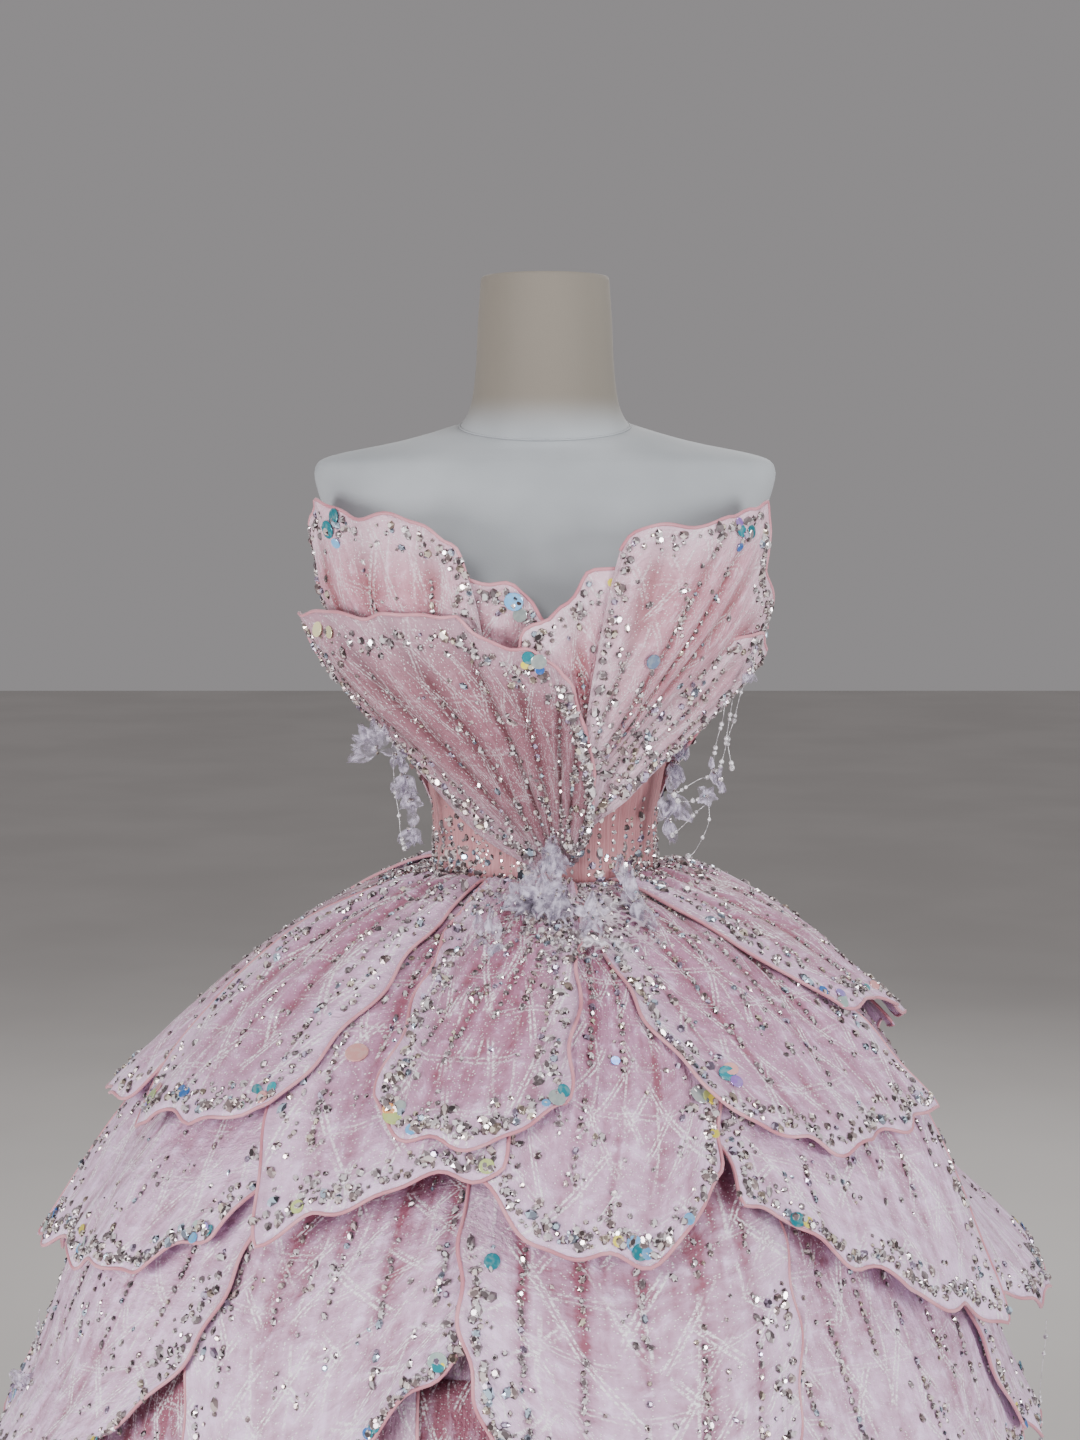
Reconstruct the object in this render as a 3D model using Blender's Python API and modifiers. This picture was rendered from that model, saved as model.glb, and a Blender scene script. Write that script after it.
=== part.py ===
"""A strapless petal ball gown standing on a limbless dress form.

Metres, +Z up.  The front of the gown faces -Y and the wearer's left side is +X.
The origin is the centre of the underside of the stand's base, on the floor.

Every cloth piece is a closed wall: an inner sheet, an outer sheet and the
strip between their edges.  The sheets are worked out on two guiding surfaces:

* the skirt surface, a profile turned round the Z axis and slightly flattened
  front to back near the waist; a place on it is (azimuth, distance down the
  cloth from the waist, height off the surface);
* the body surface, a stack of ellipses; a place on it is (azimuth, height
  above the waist, height off the surface).

Azimuth is in degrees: 0 is the centre front, 90 the +X side, 180 the back.
Left and right are those of someone who faces the gown.
"""

import math

import bmesh
import bpy
import numpy as np

OBJECT_NAME = "petal_ball_gown"

# ---------------------------------------------------------------- main sizes
WAIST_Z = 1.050            # height of the waist seam above the floor
NECK_TOP_Z = 1.566         # top of the form's neck
SEAM_GAP = 0.0003          # gap left at each seam

CLOTH_WALL = 0.0020        # corset and underskirt
PETAL_WALL = 0.0016        # two layers of organza and a lining
CORSET_EASE = 0.0008       # corset's inside to the form

BASE_RADIUS = 0.170        # stand
BASE_THICK = 0.012
BASE_ROUNDING = 0.003
POLE_RADIUS = 0.0125
TORSO_BOTTOM_Z = 0.800

# ------------------------------------------------------------ form's sections
# z, half width, half depth, centre y, squareness of the oval, dip of the front
TORSO_COLUMNS = ("z", "half_width", "half_depth", "centre_y", "power", "dip")
TORSO_RINGS = (
    (TORSO_BOTTOM_Z, 0.146, 0.108, 0.000, 2.2, 0.000),
    (0.860, 0.154, 0.114, 0.000, 2.2, 0.000),
    (0.925, 0.153, 0.112, 0.000, 2.2, 0.000),
    (0.985, 0.128, 0.098, 0.000, 2.1, 0.000),
    (1.020, 0.106, 0.088, 0.000, 2.0, 0.000),
    (1.052, 0.0955, 0.0825, 0.000, 2.0, 0.000),
    (1.080, 0.0945, 0.0820, 0.000, 2.0, 0.000),
    (1.110, 0.0960, 0.0850, 0.000, 2.0, 0.000),
    (1.140, 0.1010, 0.0920, -0.001, 2.0, 0.000),
    (1.170, 0.1100, 0.1010, -0.002, 2.0, 0.000),
    (1.200, 0.1210, 0.1090, -0.003, 2.0, 0.000),
    (1.230, 0.1320, 0.1130, -0.003, 2.0, 0.000),
    (1.260, 0.1430, 0.1120, -0.002, 2.0, 0.000),
    (1.290, 0.1550, 0.1070, 0.000, 2.1, 0.000),
    (1.320, 0.1690, 0.1010, 0.003, 2.2, 0.000),
    (1.350, 0.1840, 0.0940, 0.006, 2.4, 0.000),
    (1.380, 0.1960, 0.0850, 0.009, 2.6, 0.000),
    (1.402, 0.1990, 0.0740, 0.012, 2.8, 0.000),
    (1.413, 0.1840, 0.0670, 0.013, 2.5, 0.002),
    (1.425, 0.1260, 0.0620, 0.015, 2.2, 0.007),
    (1.438, 0.0740, 0.0600, 0.016, 2.0, 0.014),
)
TORSO_SIDES = 36

# height over the torso's top ring, half width, half depth, share of the top ring's dip
NECK_RINGS = (
    (0.000, 0.0740, 0.0600, 1.00),
    (0.008, 0.0685, 0.0600, 0.95),
    (0.022, 0.0635, 0.0600, 0.75),
    (0.050, 0.0600, 0.0595, 0.35),
    (0.090, 0.0580, 0.0580, 0.00),
)
NECK_TOP_RADIUS = 0.0556
NECK_SIDES = 24

# ------------------------------------------------------------ guiding surfaces
# The petals' guiding ovals over the bodice: height over the waist, half width, half depth
BODICE_OVALS = (
    (0.000, 0.1000, 0.0865),
    (0.040, 0.1010, 0.0885),
    (0.080, 0.1090, 0.0955),
    (0.115, 0.1270, 0.1080),
    (0.150, 0.1500, 0.1240),
    (0.190, 0.1720, 0.1370),
    (0.220, 0.1840, 0.1410),
    (0.260, 0.1920, 0.1420),
    (0.330, 0.1980, 0.1420),
)
# The underskirt's profile: radius, height
SKIRT_PROFILE = (
    (0.0985, 1.0500), (0.1290, 1.0365), (0.1640, 1.0180), (0.2080, 0.9850),
    (0.2560, 0.9350), (0.3000, 0.8750), (0.3380, 0.8000), (0.3640, 0.7200),
    (0.3840, 0.6300), (0.4020, 0.5300), (0.4280, 0.4000), (0.4700, 0.2500),
    (0.5220, 0.1100), (0.5650, 0.0120),
)
WAIST_FLATTENING = 0.86    # depth over width at the waist; 1 from HIP_LENGTH down
HIP_LENGTH = 0.250
SKIRT_SWAY = -0.018        # the lower skirt hangs a little to the left
SWAY_FROM, SWAY_TO = 0.120, 0.420

# ----------------------------------------------------------------- skirt petals
# By tier: a petal's sewn root over the underskirt, the step from one layer to the
# next at the roots, and the same step from STEP_GROWS below the roots
ROOT_HEIGHT = {1: 0.0009, 2: 0.0010, 3: 0.0011, 4: 0.0002, 5: 0.0016}
ROOT_STEP = {1: 0.0024, 2: 0.0024, 3: 0.0024, 4: 0.0030, 5: 0.0034}
LAYER_STEP = {1: 0.0036, 2: 0.0042, 3: 0.0052, 4: 0.0056, 5: 0.0060}
STEP_GROWS = 0.040
RISE = 0.080               # how fast a petal stands away below its root
RISE_GROWTH = 0.080
WAVE_HEIGHT = 0.0070       # soft waves that all the layers share
WAVE_GROWTH = 0.0060
WAVE_STARTS = 0.150        # distance below the root at which waves are full
CURL_STARTS = 0.70

TIER_ROOT = {1: 0.004, 2: 0.130, 3: 0.250, 4: 0.430, 5: 0.640}

# left/right: azimuth of the two side edges at the root, half way and at the hem.
# hem: distance from the waist at five places from left to right.
# folds, fold depth: soft radial folds; curl: how far the hem turns out;
# tip_left, tip_right: how far the corners stand out.
PETAL_COLUMNS = (
    "name", "tier", "layer", "left", "right", "hem",
    "folds", "depth", "curl", "tip_left", "tip_right", "columns",
)
SKIRT_PETALS = (
    ("petal_1_front", 1, 2, (-24, -24.5, -23), (13, 7, 4),
     (0.236, 0.268, 0.271, 0.258, 0.242), 5, 0.0030, 0.004, 0.002, 0.002, 14),
    ("petal_1_front_left", 1, 1, (-34, -42, -31), (2, 0, -4),
     (0.350, 0.326, 0.304, 0.294, 0.282), 3, 0.0012, 0.005, 0.003, 0.000, 9),
    ("petal_1_front_right", 1, 0, (0, -2, -7), (26, 29, 24),
     (0.290, 0.330, 0.347, 0.341, 0.296), 3, 0.0010, 0.005, 0.000, 0.003, 9),
    ("petal_1_side_left", 1, 2, (-58, -77, -63), (-26.5, -31, -38),
     (0.306, 0.293, 0.281, 0.277, 0.262), 3, 0.0030, 0.005, 0.004, 0.004, 10),
    ("petal_1_side_right", 1, 1, (14, 15, 26), (52, 64, 70),
     (0.238, 0.286, 0.297, 0.297, 0.305), 3, 0.0012, 0.004, 0.003, 0.001, 10),
    ("petal_1_far_left", 1, 1, (-128, -136, -128), (-54, -68, -66),
     (0.262, 0.300, 0.318, 0.312, 0.235), 3, 0.0012, 0.006, 0.002, 0.000, 10),
    ("petal_1_far_right", 1, 2, (32, 45, 60), (106, 114, 104),
     (0.192, 0.206, 0.222, 0.254, 0.248), 3, 0.0030, 0.006, 0.004, 0.006, 10),
    ("petal_1_back_right", 1, 1, (100, 104, 98), (168, 178, 170),
     (0.262, 0.300, 0.312, 0.300, 0.270), 3, 0.0012, 0.005, 0.000, 0.000, 9),
    ("petal_1_back_left", 1, 2, (162, 164, 166), (238, 236, 242),
     (0.270, 0.300, 0.306, 0.296, 0.262), 3, 0.0030, 0.005, 0.003, 0.003, 9),

    ("petal_2_side_left", 2, 1, (-80, -88, -82), (-30, -32, -40),
     (0.440, 0.414, 0.410, 0.392, 0.352), 3, 0.0020, 0.006, 0.022, 0.004, 9),
    ("petal_2_side_right", 2, 2, (22, 24, 27), (66, 73, 66),
     (0.312, 0.356, 0.398, 0.436, 0.468), 3, 0.0015, 0.005, 0.000, 0.004, 9),
    ("petal_2_far_right", 2, 1, (60, 66, 64), (116, 124, 118),
     (0.430, 0.482, 0.500, 0.472, 0.424), 2, 0.0010, 0.040, 0.000, 0.000, 9),
    ("petal_2_back_right", 2, 0, (110, 106, 108), (168, 178, 168),
     (0.410, 0.452, 0.462, 0.448, 0.404), 3, 0.0006, 0.006, 0.000, 0.000, 8),
    ("petal_2_back_left", 2, 1, (160, 158, 158), (226, 236, 226),
     (0.404, 0.446, 0.458, 0.452, 0.410), 3, 0.0015, 0.006, 0.000, 0.000, 8),
    ("petal_2_far_left", 2, 0, (-140, -146, -140), (-78, -80, -76),
     (0.404, 0.448, 0.462, 0.458, 0.420), 3, 0.0006, 0.006, 0.000, 0.000, 8),

    ("petal_3_front", 3, 1, (-8, -7, 0), (32, 33, 25),
     (0.510, 0.580, 0.618, 0.600, 0.560), 3, 0.0015, 0.006, 0.000, 0.000, 8),
    ("petal_3_front_left", 3, 0, (-38, -42, -36), (-2, -2, -6),
     (0.560, 0.560, 0.520, 0.452, 0.398), 3, 0.0010, 0.006, 0.000, 0.000, 8),
    ("petal_3_front_right", 3, 0, (26, 20, 28), (72, 78, 78),
     (0.545, 0.590, 0.606, 0.600, 0.566), 3, 0.0010, 0.006, 0.000, 0.000, 8),
    ("petal_3_side_left", 3, 1, (-86, -92, -88), (-40, -37, -50),
     (0.600, 0.606, 0.600, 0.574, 0.520), 3, 0.0015, 0.012, 0.016, 0.002, 8),
    ("petal_3_far_right", 3, 1, (66, 64, 70), (112, 122, 114),
     (0.560, 0.604, 0.616, 0.600, 0.566), 2, 0.0015, 0.006, 0.003, 0.003, 8),
    ("petal_3_back_right", 3, 0, (106, 106, 106), (172, 178, 174),
     (0.564, 0.602, 0.612, 0.600, 0.562), 3, 0.0010, 0.006, 0.000, 0.000, 7),
    ("petal_3_back_left", 3, 1, (166, 164, 166), (226, 232, 228),
     (0.562, 0.600, 0.610, 0.600, 0.560), 3, 0.0015, 0.006, 0.002, 0.002, 7),
    ("petal_3_far_left", 3, 0, (-140, -142, -140), (-80, -80, -80),
     (0.560, 0.600, 0.612, 0.606, 0.576), 3, 0.0010, 0.006, 0.000, 0.000, 7),
)

# The two lowest tiers are six like petals each, all round.
LOWER_TIERS = (
    # tier, first centre, hem at the middle, rise of the hem's corners, width at root and hem
    (4, 12.0, 0.845, 0.095, 72.0, 68.0),
    (5, 42.0, 1.120, 0.120, 72.0, 68.0),
)
LOWER_PETAL_COUNT = 6
LOWER_PETAL_COLUMNS = 8
LOWER_HEM_SHARE = (1.0, 0.22, 0.0, 0.15, 0.8)    # share of the corner rise along the hem

PETAL_ROWS = {1: 6, 2: 5, 3: 5, 4: 5, 5: 6}

UNDERSKIRT_COLUMNS = 18
UNDERSKIRT_ROWS = 10
UNDERSKIRT_ROW_GROWTH = 1.25

# ---------------------------------------------------------------- bodice petals
BODICE_ROOT_HEIGHT = 0.0007
SEATED_GAP = 0.0005        # a seated root over the corset
SEATED_SHARE = 0.34        # of the length, over which a seated petal leaves the corset
BODICE_LAYER_STEP = 0.0036
FLARE_WIDTH = 0.12         # share of the width over which a tip turns out
TUCK_LOW = 0.115           # inner bodice petals leave the corset here
TUCK_HIGH = 0.265          # and reach the guiding ovals here

# root: azimuth and height over the waist of the two ends of the sewn end.
# rim: the free edge from left to right.  bow_left, bow_right: how far the
# side edges bow from a straight line, in azimuth and height.  fades: the share
# of the width over which the pleats die out at the left and right edges.
# flare: the place on the rim, and how far its tip turns out there.  A seated
# petal's root lies on the corset.
BODICE_PETALS = (
    dict(name="bodice_left_inner", seated=False, layer=0, tucked=True, pleats=3, depth=0.0011,
         root=((-36, 0.118), (-3, 0.114)),
         rim=((-34, 0.262), (-22, 0.262), (-12, 0.259), (-6, 0.250), (-2, 0.237), (2, 0.220)),
         bow_left=(0, 0.0), bow_right=(4, 0.0), fades=(0.2, 0.2), flare=(0.0, 0.0),
         columns=9, rows=4),
    dict(name="bodice_left_outer", seated=False, layer=1, tucked=True, pleats=5, depth=0.0030,
         root=((-70, 0.118), (-30, 0.118)),
         rim=((-84, 0.228), (-77, 0.250), (-76, 0.278), (-76, 0.306), (-71, 0.322),
              (-62, 0.319), (-50, 0.312), (-38, 0.310), (-28, 0.303), (-22, 0.287), (-18, 0.262)),
         bow_left=(-4, 0.0), bow_right=(6, 0.0), fades=(0.2, 0.2), flare=(0.4, 0.002),
         columns=18, rows=4),
    dict(name="bodice_right_inner", seated=False, layer=1, tucked=False, pleats=2, depth=0.0006,
         root=((14, 0.052), (25, 0.074)),
         rim=((-7, 0.202), (-6, 0.216), (0, 0.226), (4, 0.240), (8, 0.256), (13, 0.268), (26, 0.272)),
         bow_left=(0, 0.0), bow_right=(2, 0.0), fades=(0.2, 0.2), flare=(0.0, 0.0),
         columns=10, rows=5),
    dict(name="bodice_right_outer", seated=False, layer=2, tucked=False, pleats=6, depth=0.0045,
         root=((19, 0.089), (29, 0.090)),
         rim=((17, 0.285), (22, 0.300), (31, 0.305), (42, 0.306), (49, 0.311), (56, 0.319),
              (62, 0.321), (65, 0.306), (66, 0.276), (70, 0.250), (80, 0.232), (82, 0.216)),
         bow_left=(-3, 0.0), bow_right=(-10, -0.004), fades=(0.14, 0.45), flare=(0.0, 0.0),
         columns=24, rows=5),
    dict(name="bodice_right_lobe", seated=False, layer=3, tucked=False, pleats=3, depth=0.0035,
         root=((25, 0.084), (30, 0.074)),
         rim=((54, 0.206), (62, 0.214), (72, 0.208), (79, 0.196), (80, 0.178)),
         bow_left=(2, 0.004), bow_right=(-4, -0.012), fades=(0.2, 0.3), flare=(0.75, 0.003),
         columns=12, rows=5),
    dict(name="bodice_left_wrap", seated=True, layer=2, tucked=False, pleats=9, depth=0.0050,
         root=((-3, 0.014), (14, 0.020)),
         rim=((-72, 0.140), (-81, 0.188), (-84, 0.225), (-72, 0.229), (-58, 0.231),
              (-46, 0.229), (-34, 0.231), (-23, 0.232), (-17, 0.217), (-8, 0.206), (0, 0.197),
              (5, 0.184), (9, 0.158), (14, 0.128), (19, 0.086), (20, 0.062), (16, 0.030)),
         bow_left=(-5, -0.012), bow_right=(0, 0.0), fades=(0.2, 0.1), flare=(0.13, 0.016),
         columns=32, rows=6),
    dict(name="bodice_back_left", seated=True, layer=0, tucked=False, pleats=4, depth=0.0035,
         root=((-150, 0.014), (-177, 0.014)),
         rim=((-99, 0.096), (-94, 0.150), (-92, 0.205), (-102, 0.228), (-122, 0.224),
              (-142, 0.216), (-162, 0.210), (-178.5, 0.196)),
         bow_left=(8, -0.020), bow_right=(0, 0.0), fades=(0.2, 0.1), flare=(0.4, 0.002),
         columns=14, rows=5),
    dict(name="bodice_back_right", seated=True, layer=0, tucked=False, pleats=4, depth=0.0035,
         root=((150, 0.014), (177, 0.014)),
         rim=((99, 0.096), (94, 0.150), (92, 0.205), (102, 0.228), (122, 0.224),
              (142, 0.216), (162, 0.210), (178.5, 0.196)),
         bow_left=(-8, -0.020), bow_right=(0, 0.0), fades=(0.2, 0.1), flare=(0.4, 0.002),
         columns=14, rows=5),
)

# ----------------------------------------------------------------------- corset
CORSET_LEVELS = (0.0003, 0.030, 0.090, 0.120, 0.150, 0.180)    # over the waist
CORSET_TOP = ((0, 0.206), (60, 0.209), (90, 0.205), (180, 0.195))
CORSET_COLUMN_ANGLE = 10.0
CORSET_PANELS = (
    ("corset_front", -70, 70),
    ("corset_side_right", 70, 120),
    ("corset_side_left", -120, -70),
    ("corset_back_right", 120, 180),
    ("corset_back_left", -180, -120),
)

# ------------------------------------------------------------------- waist trim
APPLIQUE_LAYER = 3
APPLIQUE_LEFT, APPLIQUE_RIGHT = -22.0, 40.0
APPLIQUE_TOP, APPLIQUE_BOTTOM = 0.020, 0.128
APPLIQUE_COLUMNS, APPLIQUE_ROWS = 18, 8
APPLIQUE_LIFT = 0.0012     # over the folds of the petals under it
FLOWER_PETALS = 5
# azimuth, distance from the waist, radius, height
APPLIQUE_FLOWERS = (
    (0.0, 0.046, 0.021, 0.010),
    (16.0, 0.062, 0.015, 0.008),
    (-17.0, 0.050, 0.014, 0.006),
    (27.0, 0.048, 0.013, 0.007),
    (3.0, 0.086, 0.015, 0.005),
    (-12.0, 0.090, 0.014, 0.006),
)

# ------------------------------------------------------------ colours and finish
# base colour (linear), roughness, metallic
FINISHES = {
    "organza": ((0.66, 0.46, 0.52, 1.0), 0.55, 0.0),
    "pleated_organza": ((0.62, 0.38, 0.42, 1.0), 0.50, 0.0),
    "corset_satin": ((0.66, 0.36, 0.34, 1.0), 0.40, 0.0),
    "underskirt": ((0.60, 0.40, 0.45, 1.0), 0.70, 0.0),
    "white_flowers": ((0.82, 0.80, 0.86, 1.0), 0.45, 0.0),
    "form_cover": ((0.80, 0.80, 0.80, 1.0), 0.85, 0.0),
    "stand_metal": ((0.70, 0.70, 0.72, 1.0), 0.30, 1.0),
}


# ================================================================ small helpers
def smoothstep(low, high, value):
    """0 below low, 1 above high, and an even S curve between."""
    t = np.clip((np.asarray(value, float) - low) / (high - low), 0.0, 1.0)
    return t * t * (3.0 - 2.0 * t)


def curve_through(points, count):
    """count places, evenly spread by station, on a Catmull-Rom curve through the points."""
    points = np.asarray(points, float)
    padded = np.vstack([2 * points[0] - points[1], points, 2 * points[-1] - points[-2]])
    place = np.linspace(0.0, len(points) - 1.0, count)
    start = np.minimum(place.astype(int), len(points) - 2)
    t = (place - start)[:, None]
    before, here, there, after = (padded[start + step] for step in range(4))
    return 0.5 * (2 * here + (there - before) * t
                  + (2 * before - 5 * here + 4 * there - after) * t ** 2
                  + (3 * here - before - 3 * there + after) * t ** 3)


def three_point(values, t):
    """The parabola through the values at 0, a half and 1."""
    first, middle, last = values
    return (first * (1 - t) * (1 - 2 * t) + 4 * middle * t * (1 - t) + last * t * (2 * t - 1))


PROFILE = curve_through(SKIRT_PROFILE, 521)
PROFILE_LENGTH = np.concatenate(
    [[0.0], np.cumsum(np.linalg.norm(np.diff(PROFILE, axis=0), axis=1))])
PROFILE_SLOPE = np.gradient(PROFILE, PROFILE_LENGTH, axis=0)
BODICE_CURVE = curve_through(BODICE_OVALS, 81)


def skirt_point(azimuth, length, height):
    """A place on the skirt: the profile turned to the azimuth, moved out along its normal."""
    radius, level, slope_r, slope_z = (
        np.interp(length, PROFILE_LENGTH, column)
        for column in (PROFILE[:, 0], PROFILE[:, 1], PROFILE_SLOPE[:, 0], PROFILE_SLOPE[:, 1]))
    radius = radius - slope_z * height
    level = level + slope_r * height
    depth = WAIST_FLATTENING + (1 - WAIST_FLATTENING) * smoothstep(0.0, HIP_LENGTH, length)
    angle = np.radians(azimuth)
    sway = SKIRT_SWAY * smoothstep(SWAY_FROM, SWAY_TO, length)
    return np.stack([sway + radius * np.sin(angle), -depth * radius * np.cos(angle), level],
                    axis=-1)


def oval_point(azimuth, half_width, half_depth, centre_y, level, power=2.0):
    """A place on a level oval |x/a|^p + |y/b|^p = 1, which power 2 makes an ellipse."""
    angle = np.radians(azimuth)
    sine, cosine = np.sin(angle), np.cos(angle)
    x = half_width * np.sign(sine) * np.abs(sine) ** (2.0 / power)
    y = centre_y - half_depth * np.sign(cosine) * np.abs(cosine) ** (2.0 / power)
    return np.stack(np.broadcast_arrays(x, y, level), axis=-1)


def torso_value(column, level):
    """One column of the form's section table at a height."""
    table = np.asarray(TORSO_RINGS)
    return np.interp(level, table[:, 0], table[:, TORSO_COLUMNS.index(column)])


def corset_point(azimuth, above_waist, height):
    """A place on the corset: the form's oval at that height, moved out."""
    level = WAIST_Z + above_waist
    return oval_point(azimuth, torso_value("half_width", level) + height,
                      torso_value("half_depth", level) + height,
                      torso_value("centre_y", level), level, torso_value("power", level))


def bodice_point(azimuth, above_waist, height, tucked):
    """A place on the bodice's guiding ovals; tucked pieces start on the corset and leave it."""
    half_width = np.interp(above_waist, BODICE_CURVE[:, 0], BODICE_CURVE[:, 1]) + height
    half_depth = np.interp(above_waist, BODICE_CURVE[:, 0], BODICE_CURVE[:, 2]) + height
    free = oval_point(azimuth, half_width, half_depth, 0.0, WAIST_Z + above_waist)
    if not tucked:
        return free
    close = corset_point(azimuth, above_waist, CORSET_EASE + CLOTH_WALL + height)
    share = smoothstep(TUCK_LOW, TUCK_HIGH, above_waist)[..., None]
    return close * (1 - share) + free * share


# ============================================================== mesh and object
def finish_object(collection, mesh, name, finish):
    """Put a mesh in the collection, with its own material and smooth shading."""
    colour, roughness, metallic = FINISHES[finish]
    material = bpy.data.materials.new(name + "_" + finish)
    material.use_nodes = True
    shader = material.node_tree.nodes["Principled BSDF"]
    shader.inputs["Base Color"].default_value = colour
    shader.inputs["Roughness"].default_value = roughness
    shader.inputs["Metallic"].default_value = metallic
    material.diffuse_color = colour
    piece = bpy.data.objects.new(name, mesh)
    mesh.materials.append(material)
    mesh.shade_smooth()
    mesh.set_sharp_from_angle(angle=math.radians(50))
    collection.objects.link(piece)
    return piece


def grid_faces(rows, columns, first, flip):
    """Triangles of a grid whose points run row by row from index first."""
    corner = (first + np.arange(rows - 1)[:, None] * columns + np.arange(columns - 1)).ravel()
    upper = np.stack([corner, corner + 1, corner + columns + 1], axis=1)
    lower = np.stack([corner, corner + columns + 1, corner + columns], axis=1)
    faces = np.concatenate([upper, lower])
    return faces[:, ::-1] if flip else faces


def wall_mesh(name, inner, outer):
    """A closed wall between two sheets given as (rows, columns, 3) arrays of points."""
    rows, columns = inner.shape[:2]
    count = rows * columns
    index = np.arange(count).reshape(rows, columns)
    edge = np.concatenate([index[0, :-1], index[:-1, -1], index[-1, :0:-1], index[:0:-1, 0]])
    following = np.roll(edge, -1)
    strip = np.stack([edge + count, following + count, following, edge], axis=1)
    faces = (grid_faces(rows, columns, 0, False).tolist()
             + grid_faces(rows, columns, count, True).tolist() + strip.tolist())
    mesh = bpy.data.meshes.new(name)
    mesh.from_pydata(np.concatenate([outer.reshape(-1, 3), inner.reshape(-1, 3)]).tolist(),
                     [], faces)
    outward(mesh)
    return mesh


def outward(mesh):
    """Turn a closed mesh's faces to point out."""
    work = bmesh.new()
    work.from_mesh(mesh)
    bmesh.ops.recalc_face_normals(work, faces=work.faces)
    work.to_mesh(mesh)
    work.free()
    mesh.update()


def ring_mesh(name, rings):
    """A closed body through a stack of rings, (rings, sides, 3), with flat ends."""
    count, sides = rings.shape[:2]
    index = np.arange(count * sides).reshape(count, sides)
    beside = np.roll(index, -1, axis=1)
    faces = np.stack([index[:-1], beside[:-1], beside[1:], index[1:]], axis=-1).reshape(-1, 4)
    mesh = bpy.data.meshes.new(name)
    mesh.from_pydata(rings.reshape(-1, 3).tolist(), [],
                     faces.tolist() + [index[0, ::-1].tolist(), index[-1].tolist()])
    outward(mesh)
    return mesh


# ======================================================================= pieces
def wave(azimuth, length):
    """Soft waves round the skirt, never negative, that every layer shares."""
    turn = np.radians(azimuth)
    shape = (0.5 + 0.30 * np.sin(9 * turn + 1.2 + 7.0 * length)
             + 0.18 * np.sin(14 * turn + 0.4 - 9.0 * length))
    return (WAVE_HEIGHT + WAVE_GROWTH * length) * shape


def skirt_layer_height(azimuth, length, tier, layer):
    """Height of a petal's inside over the underskirt: root, layer, rise and shared waves."""
    below = np.maximum(length - TIER_ROOT[tier], 0.0)
    step = ROOT_STEP[tier] + ((LAYER_STEP[tier] - ROOT_STEP[tier])
                              * smoothstep(0.0, STEP_GROWS, below))
    return (ROOT_HEIGHT[tier] + layer * step + RISE * below + RISE_GROWTH * below ** 2
            + wave(azimuth, length) * smoothstep(0.0, WAVE_STARTS, below))


def skirt_petal_sheets(row):
    """Inner and outer sheets of a skirt petal.

    Across, u runs from -1 to 1; down, v runs from 0 at the root to 1 at the hem.
    The side edges are parabolas in azimuth, the hem a curve through five lengths.
    """
    v, u = np.meshgrid(np.linspace(0, 1, PETAL_ROWS[row["tier"]] + 1),
                       np.linspace(-1, 1, row["columns"] + 1), indexing="ij")
    hem = curve_through(np.asarray(row["hem"])[:, None], row["columns"] + 1)[:, 0]
    root = TIER_ROOT[row["tier"]]
    length = root + (hem[None, :] - root) * v
    left, right = three_point(row["left"], v), three_point(row["right"], v)
    azimuth = left + (right - left) * (u + 1) / 2
    height = skirt_layer_height(azimuth, length, row["tier"], row["layer"])
    inside = (1 - u ** 2) ** 2
    height += (row["depth"] * (1 - u ** 4) * np.sin(math.pi * v) ** 0.5
               * (0.5 - 0.5 * np.cos(math.pi * row["folds"] * (u + 1))))
    height += row["curl"] * smoothstep(CURL_STARTS, 1.0, v) * inside
    height += row["tip_left"] * v ** 4 * ((1 - u) / 2) ** 3
    height += row["tip_right"] * v ** 4 * ((1 + u) / 2) ** 3
    return (skirt_point(azimuth, length, height),
            skirt_point(azimuth, length, height + PETAL_WALL))


def lower_petal_rows():
    """Rows for the two lowest tiers, worked out round the skirt."""
    for tier, first, hem_middle, corner_rise, root_width, hem_width in LOWER_TIERS:
        for number in range(LOWER_PETAL_COUNT):
            centre = first + number * 360.0 / LOWER_PETAL_COUNT
            swing = 2.0 * math.sin(2.4 * number + tier)
            length = hem_middle + 0.008 * math.sin(1.7 * number + tier)
            half_root, half_hem = root_width / 2, hem_width / 2
            yield (f"petal_{tier}_{number + 1}", tier, number % 2,
                   (centre - half_root, centre - half_root - 1, centre - half_hem + swing),
                   (centre + half_root, centre + half_root + 1, centre + half_hem + swing),
                   tuple(length - corner_rise * share for share in LOWER_HEM_SHARE),
                   4, 0.0020, 0.008, 0.002, 0.002, LOWER_PETAL_COLUMNS)


def make_skirt_petals(collection):
    """Every skirt petal, tier by tier."""
    for values in SKIRT_PETALS + tuple(lower_petal_rows()):
        row = dict(zip(PETAL_COLUMNS, values))
        inner, outer = skirt_petal_sheets(row)
        finish_object(collection, wall_mesh(row["name"], inner, outer), row["name"], "organza")


def make_underskirt(collection):
    """Front and back of the wide underskirt, joined at the side seams."""
    total = PROFILE_LENGTH[-1]
    length = total * np.linspace(0, 1, UNDERSKIRT_ROWS + 1) ** UNDERSKIRT_ROW_GROWTH
    for name, start in (("underskirt_front", -90.0), ("underskirt_back", 90.0)):
        grid_length, share = np.meshgrid(
            length, np.linspace(0, 1, UNDERSKIRT_COLUMNS + 1), indexing="ij")
        radius = np.interp(grid_length, PROFILE_LENGTH, PROFILE[:, 0])
        seam = np.degrees(SEAM_GAP / 2 / radius)
        azimuth = start + seam + (180.0 - 2 * seam) * share
        inner = skirt_point(azimuth, grid_length, -CLOTH_WALL)
        outer = skirt_point(azimuth, grid_length, 0.0)
        finish_object(collection, wall_mesh(name, inner, outer), name, "underskirt")


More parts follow.
